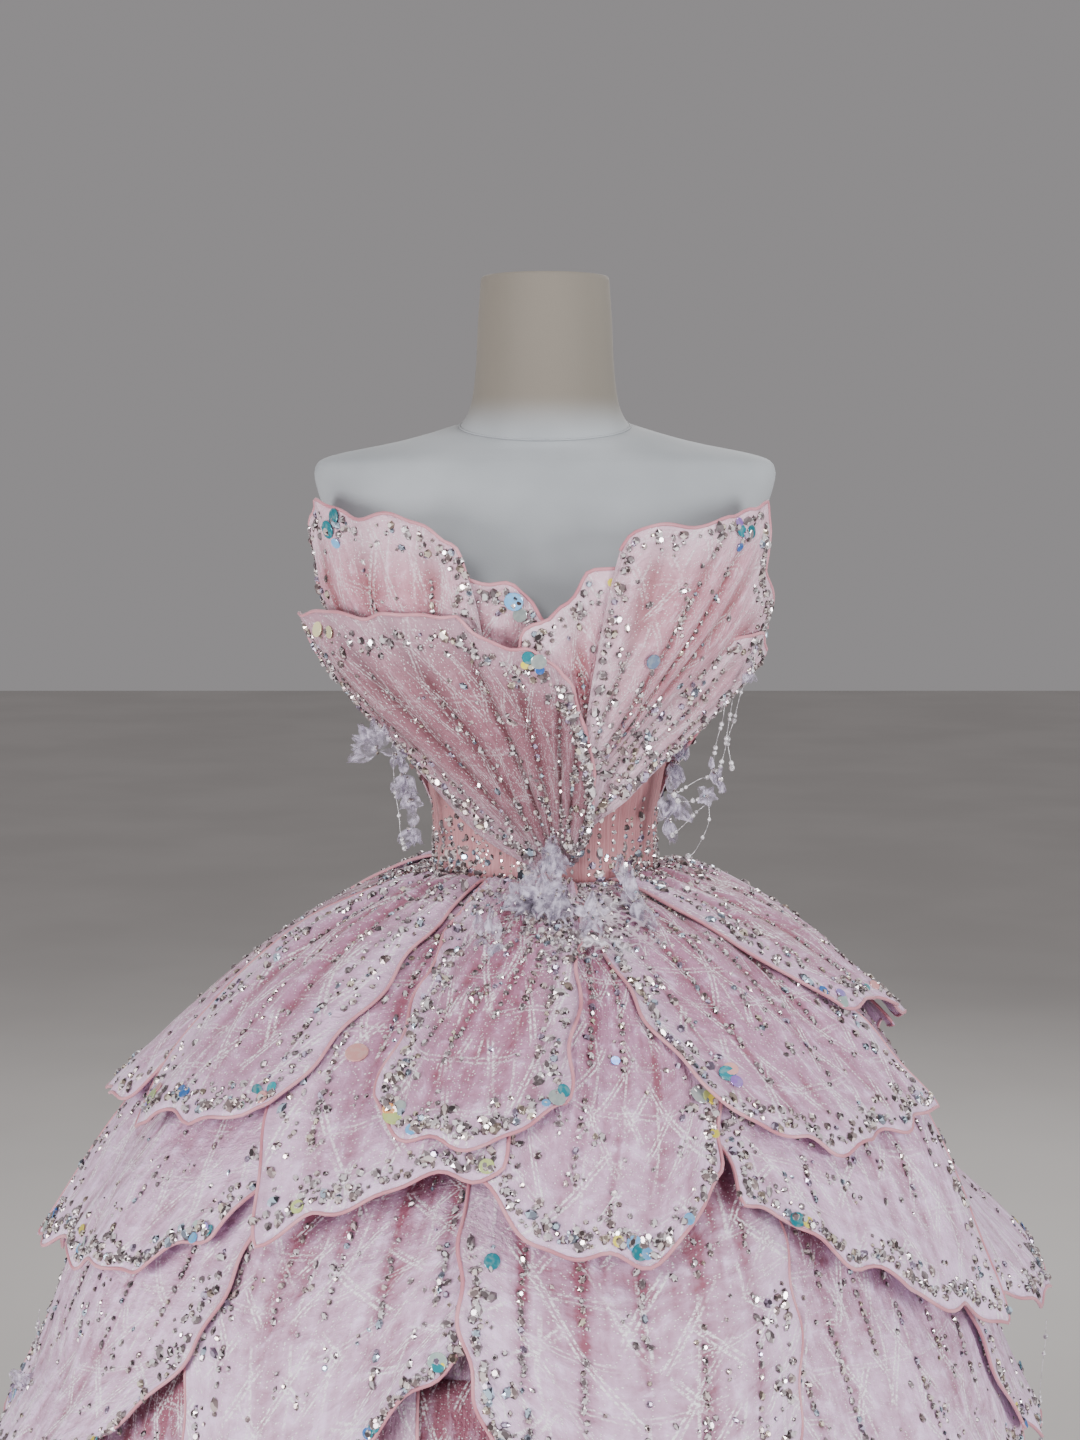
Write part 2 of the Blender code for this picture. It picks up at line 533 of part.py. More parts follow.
def bodice_petal_sheets(row):
    """Inner and outer sheets of a bodice petal, a fan from its root to its free rim.

    Straight lines in azimuth and height join root and rim, bowed at the side
    edges; pleats radiate from the root and are deepest half way out.
    """
    v, u = np.meshgrid(np.linspace(0, 1, row["rows"] + 1),
                       np.linspace(0, 1, row["columns"] + 1), indexing="ij")
    root = curve_through(row["root"], row["columns"] + 1)
    rim = curve_through(row["rim"], row["columns"] + 1)
    place = root[None] * (1 - v[..., None]) + rim[None] * v[..., None]
    bulge = (4 * v * (1 - v))[..., None]
    place = place + bulge * (np.asarray(row["bow_left"]) * ((1 - u) ** 2)[..., None]
                             + np.asarray(row["bow_right"]) * (u ** 2)[..., None])
    fade_left, fade_right = row["fades"]
    edge_fade = smoothstep(0.0, fade_left, u) * smoothstep(0.0, fade_right, 1 - u)
    pleat = 0.5 - 0.5 * np.cos(2 * math.pi * row["pleats"] * u)
    along = np.sin(math.pi * (0.08 + 0.80 * v))
    height = (BODICE_ROOT_HEIGHT + row["layer"] * BODICE_LAYER_STEP
              + row["depth"] * pleat * along * edge_fade)
    flare_place, flare_height = row["flare"]
    height += flare_height * v ** 3 * np.exp(-((u - flare_place) / FLARE_WIDTH) ** 2)
    azimuth, above = place[..., 0], place[..., 1]
    seated = (1 - smoothstep(0.0, SEATED_SHARE, v)[..., None]) * row["seated"]
    sheets = []
    for wall in (0.0, PETAL_WALL):
        free = bodice_point(azimuth, above, height + wall, row["tucked"])
        close = corset_point(azimuth, above, CORSET_EASE + CLOTH_WALL + SEATED_GAP + wall)
        sheets.append(close * seated + free * (1 - seated))
    return sheets


def make_bodice_petals(collection):
    """The pleated petals wrapped over the corset, front and back."""
    for row in BODICE_PETALS:
        inner, outer = bodice_petal_sheets(row)
        finish_object(collection, wall_mesh(row["name"], inner, outer), row["name"],
                      "pleated_organza")


def make_corset(collection):
    """Five corset panels, a seam's gap apart, close round the form."""
    top_table = np.asarray(CORSET_TOP)
    for name, start, end in CORSET_PANELS:
        columns = int(round((end - start) / CORSET_COLUMN_ANGLE))
        seam = math.degrees(SEAM_GAP / 2 / float(torso_value("half_depth", WAIST_Z)))
        azimuth = np.linspace(start, end, columns + 1)
        azimuth[0] += seam
        azimuth[-1] -= seam
        top = np.interp(np.abs(azimuth), top_table[:, 0], top_table[:, 1])
        above = np.vstack([level + 0 * top for level in CORSET_LEVELS] + [top])
        around = np.broadcast_to(azimuth, above.shape)
        inner = corset_point(around, above, CORSET_EASE)
        outer = corset_point(around, above, CORSET_EASE + CLOTH_WALL)
        finish_object(collection, wall_mesh(name, inner, outer), name, "corset_satin")


def make_waist_applique(collection):
    """A patch of net under the waist with flowers raised from its outer face."""
    v, u = np.meshgrid(np.linspace(0, 1, APPLIQUE_ROWS + 1),
                       np.linspace(-1, 1, APPLIQUE_COLUMNS + 1), indexing="ij")
    middle = (APPLIQUE_LEFT + APPLIQUE_RIGHT) / 2
    half = (APPLIQUE_RIGHT - APPLIQUE_LEFT) / 2
    azimuth = middle + half * u * (1 - 0.30 * v)
    droop = (1 - 0.22 * u ** 2) * (1 + 0.04 * np.cos(5 * math.pi * u))
    length = APPLIQUE_TOP + (APPLIQUE_BOTTOM - APPLIQUE_TOP) * v * droop
    height = skirt_layer_height(azimuth, length, 1, APPLIQUE_LAYER) + APPLIQUE_LIFT
    raised = np.zeros_like(height)
    radius = np.interp(length, PROFILE_LENGTH, PROFILE[:, 0])
    for centre, down, size, tall in APPLIQUE_FLOWERS:
        across = np.radians(azimuth - centre) * radius
        along = length - down
        distance = np.hypot(across, along) / size
        lobes = 0.75 + 0.25 * np.cos(FLOWER_PETALS * np.arctan2(along, across))
        raised = np.maximum(raised, tall * lobes * (1 - smoothstep(0.35, 1.0, distance)))
    raised *= (1 - u ** 6) * np.sin(math.pi * v) ** 0.25
    inner = skirt_point(azimuth, length, height)
    outer = skirt_point(azimuth, length, height + PETAL_WALL + raised)
    finish_object(collection, wall_mesh("waist_applique", inner, outer), "waist_applique",
                  "white_flowers")


def make_form(collection):
    """The limbless form: torso with flat-cut arm ends and a tall neck."""
    azimuth = np.linspace(0, 360, TORSO_SIDES, endpoint=False)
    rings = []
    for level, half_width, half_depth, centre_y, power, dip in TORSO_RINGS:
        ring = oval_point(azimuth, half_width, half_depth, centre_y, level, power)
        ring[:, 2] -= dip * np.cos(np.radians(azimuth))
        rings.append(ring)
    finish_object(collection, ring_mesh("form_torso", np.stack(rings)), "form_torso",
                  "form_cover")

    foot = dict(zip(TORSO_COLUMNS, TORSO_RINGS[-1]))
    azimuth = np.linspace(0, 360, NECK_SIDES, endpoint=False)
    rings = []
    for above, half_width, half_depth, dip_share in NECK_RINGS:
        level = foot["z"] + SEAM_GAP + above
        ring = oval_point(azimuth, half_width, half_depth, foot["centre_y"], level)
        ring[:, 2] -= foot["dip"] * dip_share * np.cos(np.radians(azimuth))
        rings.append(ring)
    rings.append(oval_point(azimuth, NECK_TOP_RADIUS, NECK_TOP_RADIUS, foot["centre_y"],
                            NECK_TOP_Z))
    finish_object(collection, ring_mesh("form_neck", np.stack(rings)), "form_neck", "form_cover")


def cylinder(collection, name, radius, low, high, segments, rounding, finish):
    """An upright cylinder on the Z axis with rounded rims."""
    work = bmesh.new()
    bmesh.ops.create_cone(work, cap_ends=True, segments=segments, radius1=radius,
                          radius2=radius, depth=high - low)
    mesh = bpy.data.meshes.new(name)
    work.to_mesh(mesh)
    work.free()
    piece = finish_object(collection, mesh, name, finish)
    piece.location = (0.0, 0.0, (low + high) / 2)
    if rounding:
        bevel = piece.modifiers.new("rounded_rim", "BEVEL")
        bevel.width = rounding
        bevel.segments = 1
        bevel.limit_method = "ANGLE"
        bevel.angle_limit = math.radians(60)
    return piece


def make_stand(collection):
    """A pole on a round base."""
    cylinder(collection, "stand_base", BASE_RADIUS, 0.0, BASE_THICK, 40, BASE_ROUNDING,
             "stand_metal")
    cylinder(collection, "stand_pole", POLE_RADIUS, BASE_THICK + SEAM_GAP,
             TORSO_BOTTOM_Z - SEAM_GAP, 20, 0.0, "stand_metal")


def main():
    """Clear the scene and build every piece."""
    for leftover in list(bpy.data.objects):
        bpy.data.objects.remove(leftover)
    collection = bpy.data.collections.new(OBJECT_NAME)
    bpy.context.scene.collection.children.link(collection)
    make_stand(collection)
    make_form(collection)
    make_corset(collection)
    make_bodice_petals(collection)
    make_waist_applique(collection)
    make_underskirt(collection)
    make_skirt_petals(collection)


main()
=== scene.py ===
"""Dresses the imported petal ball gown.

Metres, +Z up, the front faces -Y; azimuth 0 is the centre front and 90 the +X side.
Left and right are those of someone who faces the gown. Fine cloth is worked out on
the same two guiding surfaces as the solids: the skirt's turned profile and the stack
of ovals round the body.
"""

import math

import bpy
import numpy as np
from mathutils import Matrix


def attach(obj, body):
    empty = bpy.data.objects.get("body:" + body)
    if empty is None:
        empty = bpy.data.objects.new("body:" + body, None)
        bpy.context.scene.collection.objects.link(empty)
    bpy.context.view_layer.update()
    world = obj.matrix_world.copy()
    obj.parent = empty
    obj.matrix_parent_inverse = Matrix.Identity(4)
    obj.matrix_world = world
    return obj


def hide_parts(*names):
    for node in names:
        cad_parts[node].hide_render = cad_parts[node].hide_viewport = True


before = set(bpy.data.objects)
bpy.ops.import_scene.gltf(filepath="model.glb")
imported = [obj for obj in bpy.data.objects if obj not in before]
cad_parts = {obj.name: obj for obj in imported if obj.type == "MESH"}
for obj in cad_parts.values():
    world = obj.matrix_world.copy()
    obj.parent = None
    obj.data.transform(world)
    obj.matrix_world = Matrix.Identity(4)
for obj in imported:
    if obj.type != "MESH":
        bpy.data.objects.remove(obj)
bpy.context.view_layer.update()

# ==== sizes and tables
WAIST_Z = 1.050
NECK_TOP_Z = 1.566
SEAM_GAP = 0.0003
CLOTH_WALL = 0.0020
CORSET_EASE = 0.0008
SHELL = 0.0012              # thickness of a dressed petal
PIPING_RADIUS, PIPING_STEP = 0.0016, 0.0065
UNDERSKIRT_SHELL = 0.0010
FINE_STEP = 0.0044          # from point to point of a dressed petal that shows
TORSO_BOTTOM_Z = 0.800

# ==== form's sections
# z, half width, half depth, centre y, squareness of the oval, dip of the front
TORSO_COLUMNS = ("z", "half_width", "half_depth", "centre_y", "power", "dip")
TORSO_RINGS = (
    (TORSO_BOTTOM_Z, 0.146, 0.108, 0.0, 2.2, 0.0),
    (0.86, 0.154, 0.114, 0.0, 2.2, 0.0),
    (0.925, 0.153, 0.112, 0.0, 2.2, 0.0),
    (0.985, 0.128, 0.098, 0.0, 2.1, 0.0),
    (1.02, 0.106, 0.088, 0.0, 2.0, 0.0),
    (1.052, 0.0955, 0.0825, 0.0, 2.0, 0.0),
    (1.08, 0.0945, 0.082, 0.0, 2.0, 0.0),
    (1.11, 0.096, 0.085, 0.0, 2.0, 0.0),
    (1.14, 0.101, 0.092, -0.001, 2.0, 0.0),
    (1.17, 0.11, 0.101, -0.002, 2.0, 0.0),
    (1.2, 0.121, 0.109, -0.003, 2.0, 0.0),
    (1.23, 0.132, 0.113, -0.003, 2.0, 0.0),
    (1.26, 0.143, 0.112, -0.002, 2.0, 0.0),
    (1.29, 0.155, 0.107, 0.0, 2.1, 0.0),
    (1.32, 0.169, 0.101, 0.003, 2.2, 0.0),
    (1.35, 0.184, 0.094, 0.006, 2.4, 0.0),
    (1.38, 0.196, 0.085, 0.009, 2.6, 0.0),
    (1.402, 0.199, 0.074, 0.012, 2.8, 0.0),
    (1.413, 0.184, 0.067, 0.013, 2.5, 0.002),
    (1.425, 0.126, 0.062, 0.015, 2.2, 0.007),
    (1.438, 0.074, 0.06, 0.016, 2.0, 0.014),
)

# height over the torso's top ring, half width, half depth, share of the top ring's dip
NECK_RINGS = (
    (0.0, 0.074, 0.06, 1.0),
    (0.008, 0.0685, 0.06, 0.95),
    (0.022, 0.0635, 0.06, 0.75),
    (0.05, 0.06, 0.0595, 0.35),
    (0.09, 0.058, 0.058, 0.0),
)
NECK_TOP_RADIUS = 0.0556

# ==== guiding surfaces
# The petals' guiding ovals over the bodice: height over the waist, half width, half depth
BODICE_OVALS = (
    (0.0, 0.1, 0.0865),
    (0.04, 0.101, 0.0885),
    (0.08, 0.109, 0.0955),
    (0.115, 0.127, 0.108),
    (0.15, 0.15, 0.124),
    (0.19, 0.172, 0.137),
    (0.22, 0.184, 0.141),
    (0.26, 0.192, 0.142),
    (0.33, 0.198, 0.142),
)
# The underskirt's profile: radius, height
SKIRT_PROFILE = (
    (0.0985, 1.05), (0.129, 1.0365), (0.164, 1.018), (0.208, 0.985),
    (0.256, 0.935), (0.3, 0.875), (0.338, 0.8), (0.364, 0.72),
    (0.384, 0.63), (0.402, 0.53), (0.428, 0.4), (0.47, 0.25),
    (0.522, 0.11), (0.565, 0.012),
)
WAIST_FLATTENING = 0.86    # depth over width at the waist; 1 from HIP_LENGTH down
HIP_LENGTH = 0.25
SKIRT_SWAY = -0.018        # the lower skirt hangs a little to the left
SWAY_FROM, SWAY_TO = 0.12, 0.42

# ==== skirt petals
# By tier: a petal's sewn root over the underskirt, the step from one layer to the
# next at the roots, and the same step from STEP_GROWS below the roots
ROOT_HEIGHT = {1: 0.0009, 2: 0.001, 3: 0.0011, 4: 0.0002, 5: 0.0016}
ROOT_STEP = {1: 0.0024, 2: 0.0024, 3: 0.0024, 4: 0.003, 5: 0.0034}
LAYER_STEP = {1: 0.0036, 2: 0.0042, 3: 0.0052, 4: 0.0056, 5: 0.006}
STEP_GROWS = 0.04
RISE = 0.08               # how fast a petal stands away below its root
RISE_GROWTH = 0.08
WAVE_HEIGHT = 0.007       # soft waves that all the layers share
WAVE_GROWTH = 0.006
WAVE_STARTS = 0.15        # distance below the root at which waves are full
CURL_STARTS = 0.7

TIER_ROOT = {1: 0.004, 2: 0.13, 3: 0.25, 4: 0.43, 5: 0.64}

# left/right: azimuth of the two side edges at the root, half way and at the hem.
# hem: distance from the waist at five places from left to right.
# broad_folds, depth: soft radial folds; curl: how far the hem turns out;
# tip_left, tip_right: how far the corners stand out.
PETAL_COLUMNS = (
    "name", "tier", "layer", "left", "right", "hem",
    "broad_folds", "depth", "curl", "tip_left", "tip_right",
)
SKIRT_PETALS = (
    ("petal_1_front", 1, 2, (-24, -24.5, -23), (13, 7, 4),
     (0.236, 0.268, 0.271, 0.258, 0.242), 5, 0.003, 0.004, 0.002, 0.002),
    ("petal_1_front_left", 1, 1, (-34, -42, -31), (2, 0, -4),
     (0.35, 0.326, 0.304, 0.294, 0.282), 3, 0.0012, 0.005, 0.003, 0.0),
    ("petal_1_front_right", 1, 0, (0, -2, -7), (26, 29, 24),
     (0.29, 0.33, 0.347, 0.341, 0.296), 3, 0.001, 0.005, 0.0, 0.003),
    ("petal_1_side_left", 1, 2, (-58, -77, -63), (-26.5, -31, -38),
     (0.306, 0.293, 0.281, 0.277, 0.262), 3, 0.003, 0.005, 0.004, 0.004),
    ("petal_1_side_right", 1, 1, (14, 15, 26), (52, 64, 70),
     (0.238, 0.286, 0.297, 0.297, 0.305), 3, 0.0012, 0.004, 0.003, 0.001),
    ("petal_1_far_left", 1, 1, (-128, -136, -128), (-54, -68, -66),
     (0.262, 0.3, 0.318, 0.312, 0.235), 3, 0.0012, 0.006, 0.002, 0.0),
    ("petal_1_far_right", 1, 2, (32, 45, 60), (106, 114, 104),
     (0.192, 0.206, 0.222, 0.254, 0.248), 3, 0.003, 0.006, 0.004, 0.006),
    ("petal_1_back_right", 1, 1, (100, 104, 98), (168, 178, 170),
     (0.262, 0.3, 0.312, 0.3, 0.27), 3, 0.0012, 0.005, 0.0, 0.0),
    ("petal_1_back_left", 1, 2, (162, 164, 166), (238, 236, 242),
     (0.27, 0.3, 0.306, 0.296, 0.262), 3, 0.003, 0.005, 0.003, 0.003),

    ("petal_2_side_left", 2, 1, (-80, -88, -82), (-30, -32, -40),
     (0.44, 0.414, 0.41, 0.392, 0.352), 3, 0.002, 0.006, 0.022, 0.004),
    ("petal_2_side_right", 2, 2, (22, 24, 27), (66, 73, 66),
     (0.312, 0.356, 0.398, 0.436, 0.468), 3, 0.0015, 0.005, 0.0, 0.004),
    ("petal_2_far_right", 2, 1, (60, 66, 64), (116, 124, 118),
     (0.43, 0.482, 0.5, 0.472, 0.424), 2, 0.001, 0.04, 0.0, 0.0),
    ("petal_2_back_right", 2, 0, (110, 106, 108), (168, 178, 168),
     (0.41, 0.452, 0.462, 0.448, 0.404), 3, 0.0006, 0.006, 0.0, 0.0),
    ("petal_2_back_left", 2, 1, (160, 158, 158), (226, 236, 226),
     (0.404, 0.446, 0.458, 0.452, 0.41), 3, 0.0015, 0.006, 0.0, 0.0),
    ("petal_2_far_left", 2, 0, (-140, -146, -140), (-78, -80, -76),
     (0.404, 0.448, 0.462, 0.458, 0.42), 3, 0.0006, 0.006, 0.0, 0.0),

    ("petal_3_front", 3, 1, (-8, -7, 0), (32, 33, 25),
     (0.51, 0.58, 0.618, 0.6, 0.56), 3, 0.0015, 0.006, 0.0, 0.0),
    ("petal_3_front_left", 3, 0, (-38, -42, -36), (-2, -2, -6),
     (0.56, 0.56, 0.52, 0.452, 0.398), 3, 0.001, 0.006, 0.0, 0.0),
    ("petal_3_front_right", 3, 0, (26, 20, 28), (72, 78, 78),
     (0.545, 0.59, 0.606, 0.6, 0.566), 3, 0.001, 0.006, 0.0, 0.0),
    ("petal_3_side_left", 3, 1, (-86, -92, -88), (-40, -37, -50),
     (0.6, 0.606, 0.6, 0.574, 0.52), 3, 0.0015, 0.012, 0.016, 0.002),
    ("petal_3_far_right", 3, 1, (66, 64, 70), (112, 122, 114),
     (0.56, 0.604, 0.616, 0.6, 0.566), 2, 0.0015, 0.006, 0.003, 0.003),
    ("petal_3_back_right", 3, 0, (106, 106, 106), (172, 178, 174),
     (0.564, 0.602, 0.612, 0.6, 0.562), 3, 0.001, 0.006, 0.0, 0.0),
    ("petal_3_back_left", 3, 1, (166, 164, 166), (226, 232, 228),
     (0.562, 0.6, 0.61, 0.6, 0.56), 3, 0.0015, 0.006, 0.002, 0.002),
    ("petal_3_far_left", 3, 0, (-140, -142, -140), (-80, -80, -80),
     (0.56, 0.6, 0.612, 0.606, 0.576), 3, 0.001, 0.006, 0.0, 0.0),
)

# The two lowest tiers are six like petals each, all round.
LOWER_TIERS = (
    # tier, first centre, hem at the middle, rise of the hem's corners, width at root and hem
    (4, 12.0, 0.845, 0.095, 72.0, 68.0),
    (5, 42.0, 1.12, 0.12, 72.0, 68.0),
)
LOWER_PETAL_COUNT = 6
LOWER_HEM_SHARE = (1.0, 0.22, 0.0, 0.15, 0.8)    # share of the corner rise along the hem

# ==== bodice petals
BODICE_ROOT_HEIGHT = 0.0007
SEATED_GAP = 0.0005        # a seated root over the corset
SEATED_SHARE = 0.34        # of the length, over which a seated petal leaves the corset
BODICE_LAYER_STEP = 0.0036
FLARE_WIDTH = 0.12         # share of the width over which a tip turns out
TUCK_LOW = 0.115           # inner bodice petals leave the corset here
TUCK_HIGH = 0.265          # and reach the guiding ovals here

# root: azimuth and height over the waist of the two ends of the sewn end.
# rim: the free edge from left to right. bow_left, bow_right: how far the
# side edges bow from a straight line, in azimuth and height. fades: the share
# of the width over which the pleats die out at the left and right edges.
# flare: the place on the rim, and how far its tip turns out there. folds,
# depth: the pleats from edge to edge, and how high they stand. A seated
# petal's root lies on the corset; a tucked one leaves it from TUCK_LOW up.
BODICE_USUAL = dict(seated=False, tucked=False, bow_left=(0, 0), bow_right=(0, 0),
                    fades=(0.2, 0.2), flare=(0, 0))
BACK_RIM = ((99, 0.096), (94, 0.15), (92, 0.205), (102, 0.228), (122, 0.224),
            (142, 0.216), (162, 0.21), (178.5, 0.196))


def back_petal(name, way):
    """The row of a back petal, on the right where way is 1 and on the left where it is -1."""
    return dict(name=name, seated=True, layer=0, folds=4, depth=0.0035,
                root=((150 * way, 0.014), (177 * way, 0.014)),
                rim=[(azimuth * way, above) for azimuth, above in BACK_RIM],
                bow_left=(-8 * way, -0.02), fades=(0.2, 0.1), flare=(0.4, 0.002))


BODICE_PETALS = (
    dict(name="bodice_left_inner", layer=0, tucked=True, folds=3, depth=0.0011,
         root=((-36, 0.118), (-3, 0.114)),
         rim=((-34, 0.262), (-22, 0.262), (-12, 0.259), (-6, 0.25), (-2, 0.237), (2, 0.22)),
         bow_right=(4, 0)),
    dict(name="bodice_left_outer", layer=1, tucked=True, folds=5, depth=0.003,
         root=((-70, 0.118), (-30, 0.118)),
         rim=((-84, 0.228), (-77, 0.25), (-76, 0.278), (-76, 0.306), (-71, 0.322),
              (-62, 0.319), (-50, 0.312), (-38, 0.31), (-28, 0.303), (-22, 0.287), (-18, 0.262)),
         bow_left=(-4, 0), bow_right=(6, 0), flare=(0.4, 0.002)),
    dict(name="bodice_right_inner", layer=1, folds=2, depth=0.0006,
         root=((14, 0.052), (25, 0.074)),
         rim=((-7, 0.202), (-6, 0.216), (0, 0.226), (4, 0.24), (8, 0.256), (13, 0.268), (26, 0.272)),
         bow_right=(2, 0)),
    dict(name="bodice_right_outer", layer=2, folds=6, depth=0.0045,
         root=((19, 0.089), (29, 0.09)),
         rim=((17, 0.285), (22, 0.3), (31, 0.305), (42, 0.306), (49, 0.311), (56, 0.319),
              (62, 0.321), (65, 0.306), (66, 0.276), (70, 0.25), (80, 0.232), (82, 0.216)),
         bow_left=(-3, 0), bow_right=(-10, -0.004), fades=(0.14, 0.45)),
    dict(name="bodice_right_lobe", layer=3, folds=3, depth=0.0035,
         root=((25, 0.084), (30, 0.074)),
         rim=((54, 0.206), (62, 0.214), (72, 0.208), (79, 0.196), (80, 0.178)),
         bow_left=(2, 0.004), bow_right=(-4, -0.012), fades=(0.2, 0.3), flare=(0.75, 0.003)),
    dict(name="bodice_left_wrap", seated=True, layer=2, folds=9, depth=0.005,
         root=((-3, 0.014), (14, 0.02)),
         rim=((-72, 0.14), (-81, 0.188), (-84, 0.225), (-72, 0.229), (-58, 0.231),
              (-46, 0.229), (-34, 0.231), (-23, 0.232), (-17, 0.217), (-8, 0.206), (0, 0.197),
              (5, 0.184), (9, 0.158), (14, 0.128), (19, 0.086), (20, 0.062), (16, 0.03)),
         bow_left=(-5, -0.012), fades=(0.2, 0.1), flare=(0.13, 0.016)),
    back_petal("bodice_back_left", -1),
    back_petal("bodice_back_right", 1),
)

# ==== corset
CORSET_FOOT = 0.0003        # over the waist
CORSET_TOP = ((0, 0.206), (60, 0.209), (90, 0.205), (180, 0.195))
CORSET_PANELS = (
    ("corset_front", -70, 70),
    ("corset_side_right", 70, 120),
    ("corset_side_left", -120, -70),
    ("corset_back_right", 120, 180),
    ("corset_back_left", -180, -120),
)

# ==== waist trim
APPLIQUE_LAYER = 3
APPLIQUE_LEFT, APPLIQUE_RIGHT = -22.0, 40.0
APPLIQUE_TOP, APPLIQUE_BOTTOM = 0.020, 0.128
APPLIQUE_LIFT = 0.0012     # over the folds of the petals under it

# ==== fine cloth
FINE_FOLD_WIDTH = 0.036     # from one fine fold to the next at the hem
FINE_FOLD_DEPTH = 0.0014
SCALLOP_LENGTH = 0.078      # along the free edges
HEM_SCALLOP = 0.0055
SIDE_SCALLOP = 0.0032
HEM_RUFFLE = 0.0055
SIDE_RUFFLE = 0.0022
RIM_SCALLOP = 0.0040
RIM_RUFFLE = 0.0028
ROOT_REACH = 0.0032         # a skirt petal's cloth starts this much above its solid
LEAST_FILL = 0.301          # share of width by length that a sheet's stated area has at least

# ==== small helpers
def smoothstep(low, high, value):
    """0 below low, 1 above high, and an even S curve between."""
    t = np.clip((np.asarray(value, float) - low) / (high - low), 0.0, 1.0)
    return t * t * (3.0 - 2.0 * t)


def curve_through(points, count):
    """count places, evenly spread by station, on a Catmull-Rom curve through the points."""
    points = np.asarray(points, float)
    padded = np.vstack([2 * points[0] - points[1], points, 2 * points[-1] - points[-2]])
    place = np.linspace(0.0, len(points) - 1.0, count)
    start = np.minimum(place.astype(int), len(points) - 2)
    t = (place - start)[:, None]
    before, here, there, after = (padded[start + step] for step in range(4))
    return 0.5 * (2 * here + (there - before) * t
                  + (2 * before - 5 * here + 4 * there - after) * t ** 2
                  + (3 * here - before - 3 * there + after) * t ** 3)


def three_point(values, t):
    """The parabola through the values at 0, a half and 1."""
    first, middle, last = values
    return first * (1 - t) * (1 - 2 * t) + 4 * middle * t * (1 - t) + last * t * (2 * t - 1)


def unit(vectors):
    """The vectors scaled to length 1."""
    return vectors / np.maximum(np.linalg.norm(vectors, axis=-1, keepdims=True), 1e-12)


def crinkle(across, down, seed):
    """Small soft creases: eight sine waves of 16 to 50 mm, mostly running down the cloth."""
    dice = np.random.default_rng(seed)
    total = np.zeros(np.broadcast(across, down).shape)
    for _ in range(8):
        fast, slow = dice.uniform(20, 62), dice.uniform(-16, 16)
        total += np.sin(2 * math.pi * (fast * across + slow * down) + dice.uniform(0, 6.28))
    return total / 8


def path_lengths(path):
    """The distance along a path at each of its places."""
    return np.concatenate([[0.0], np.cumsum(np.linalg.norm(np.diff(path, axis=0), axis=1))])


def line_at(stations, along, line):
    """The places of a line, given at along, at the stations."""
    return np.stack([np.interp(stations, along, column) for column in line.T], axis=-1)


PROFILE = curve_through(SKIRT_PROFILE, 521)
PROFILE_LENGTH = path_lengths(PROFILE)
PROFILE_SLOPE = np.gradient(PROFILE, PROFILE_LENGTH, axis=0)
BODICE_CURVE = curve_through(BODICE_OVALS, 81)
TORSO_CURVE = curve_through(TORSO_RINGS, 161)


def skirt_radius(length):
    """The underskirt's radius at a distance from the waist."""
    return np.interp(length, PROFILE_LENGTH, PROFILE[:, 0])


def skirt_point(azimuth, length, height):
    """A place on the skirt: the profile turned to the azimuth, moved out along its normal."""
    radius, level, slope_r, slope_z = (
        np.interp(length, PROFILE_LENGTH, column)
        for column in (PROFILE[:, 0], PROFILE[:, 1], PROFILE_SLOPE[:, 0], PROFILE_SLOPE[:, 1]))
    radius = radius - slope_z * height
    level = level + slope_r * height
    depth = WAIST_FLATTENING + (1 - WAIST_FLATTENING) * smoothstep(0.0, HIP_LENGTH, length)
    angle = np.radians(azimuth)
    sway = SKIRT_SWAY * smoothstep(SWAY_FROM, SWAY_TO, length)
    return np.stack([sway + radius * np.sin(angle), -depth * radius * np.cos(angle), level],
                    axis=-1)


def oval_point(azimuth, half_width, half_depth, centre_y, level, power=2.0):
    """A place on a level oval |x/a|^p + |y/b|^p = 1, which power 2 makes an ellipse."""
    angle = np.radians(azimuth)
    sine, cosine = np.sin(angle), np.cos(angle)
    x = half_width * np.sign(sine) * np.abs(sine) ** (2.0 / power)
    y = centre_y - half_depth * np.sign(cosine) * np.abs(cosine) ** (2.0 / power)
    return np.stack(np.broadcast_arrays(x, y, level), axis=-1)


def torso_value(column, level):
    """One column of the form's section table at a height."""
    table = np.asarray(TORSO_RINGS)
    return np.interp(level, table[:, 0], table[:, TORSO_COLUMNS.index(column)])


def corset_point(azimuth, above_waist, height):
    """A place on the corset: the form's oval at that height, moved out."""
    level = WAIST_Z + above_waist
    return oval_point(azimuth, torso_value("half_width", level) + height,
                      torso_value("half_depth", level) + height,
                      torso_value("centre_y", level), level, torso_value("power", level))


def bodice_point(azimuth, above_waist, height, tucked):
    """A place on the bodice's guiding ovals; tucked pieces start on the corset and leave it."""
    half_width, half_depth = (np.interp(above_waist, BODICE_CURVE[:, 0], column) + height
                              for column in (BODICE_CURVE[:, 1], BODICE_CURVE[:, 2]))
    free = oval_point(azimuth, half_width, half_depth, 0.0, WAIST_Z + above_waist)
    if not tucked:
        return free
    close = corset_point(azimuth, above_waist, CORSET_EASE + CLOTH_WALL + height)
    share = smoothstep(TUCK_LOW, TUCK_HIGH, above_waist)[..., None]
    return close * (1 - share) + free * share


def wave(azimuth, length):
    """Soft waves round the skirt, never negative, that every layer shares."""
    turn = np.radians(azimuth)
    shape = (0.5 + 0.30 * np.sin(9 * turn + 1.2 + 7.0 * length)
             + 0.18 * np.sin(14 * turn + 0.4 - 9.0 * length))
    return (WAVE_HEIGHT + WAVE_GROWTH * length) * shape


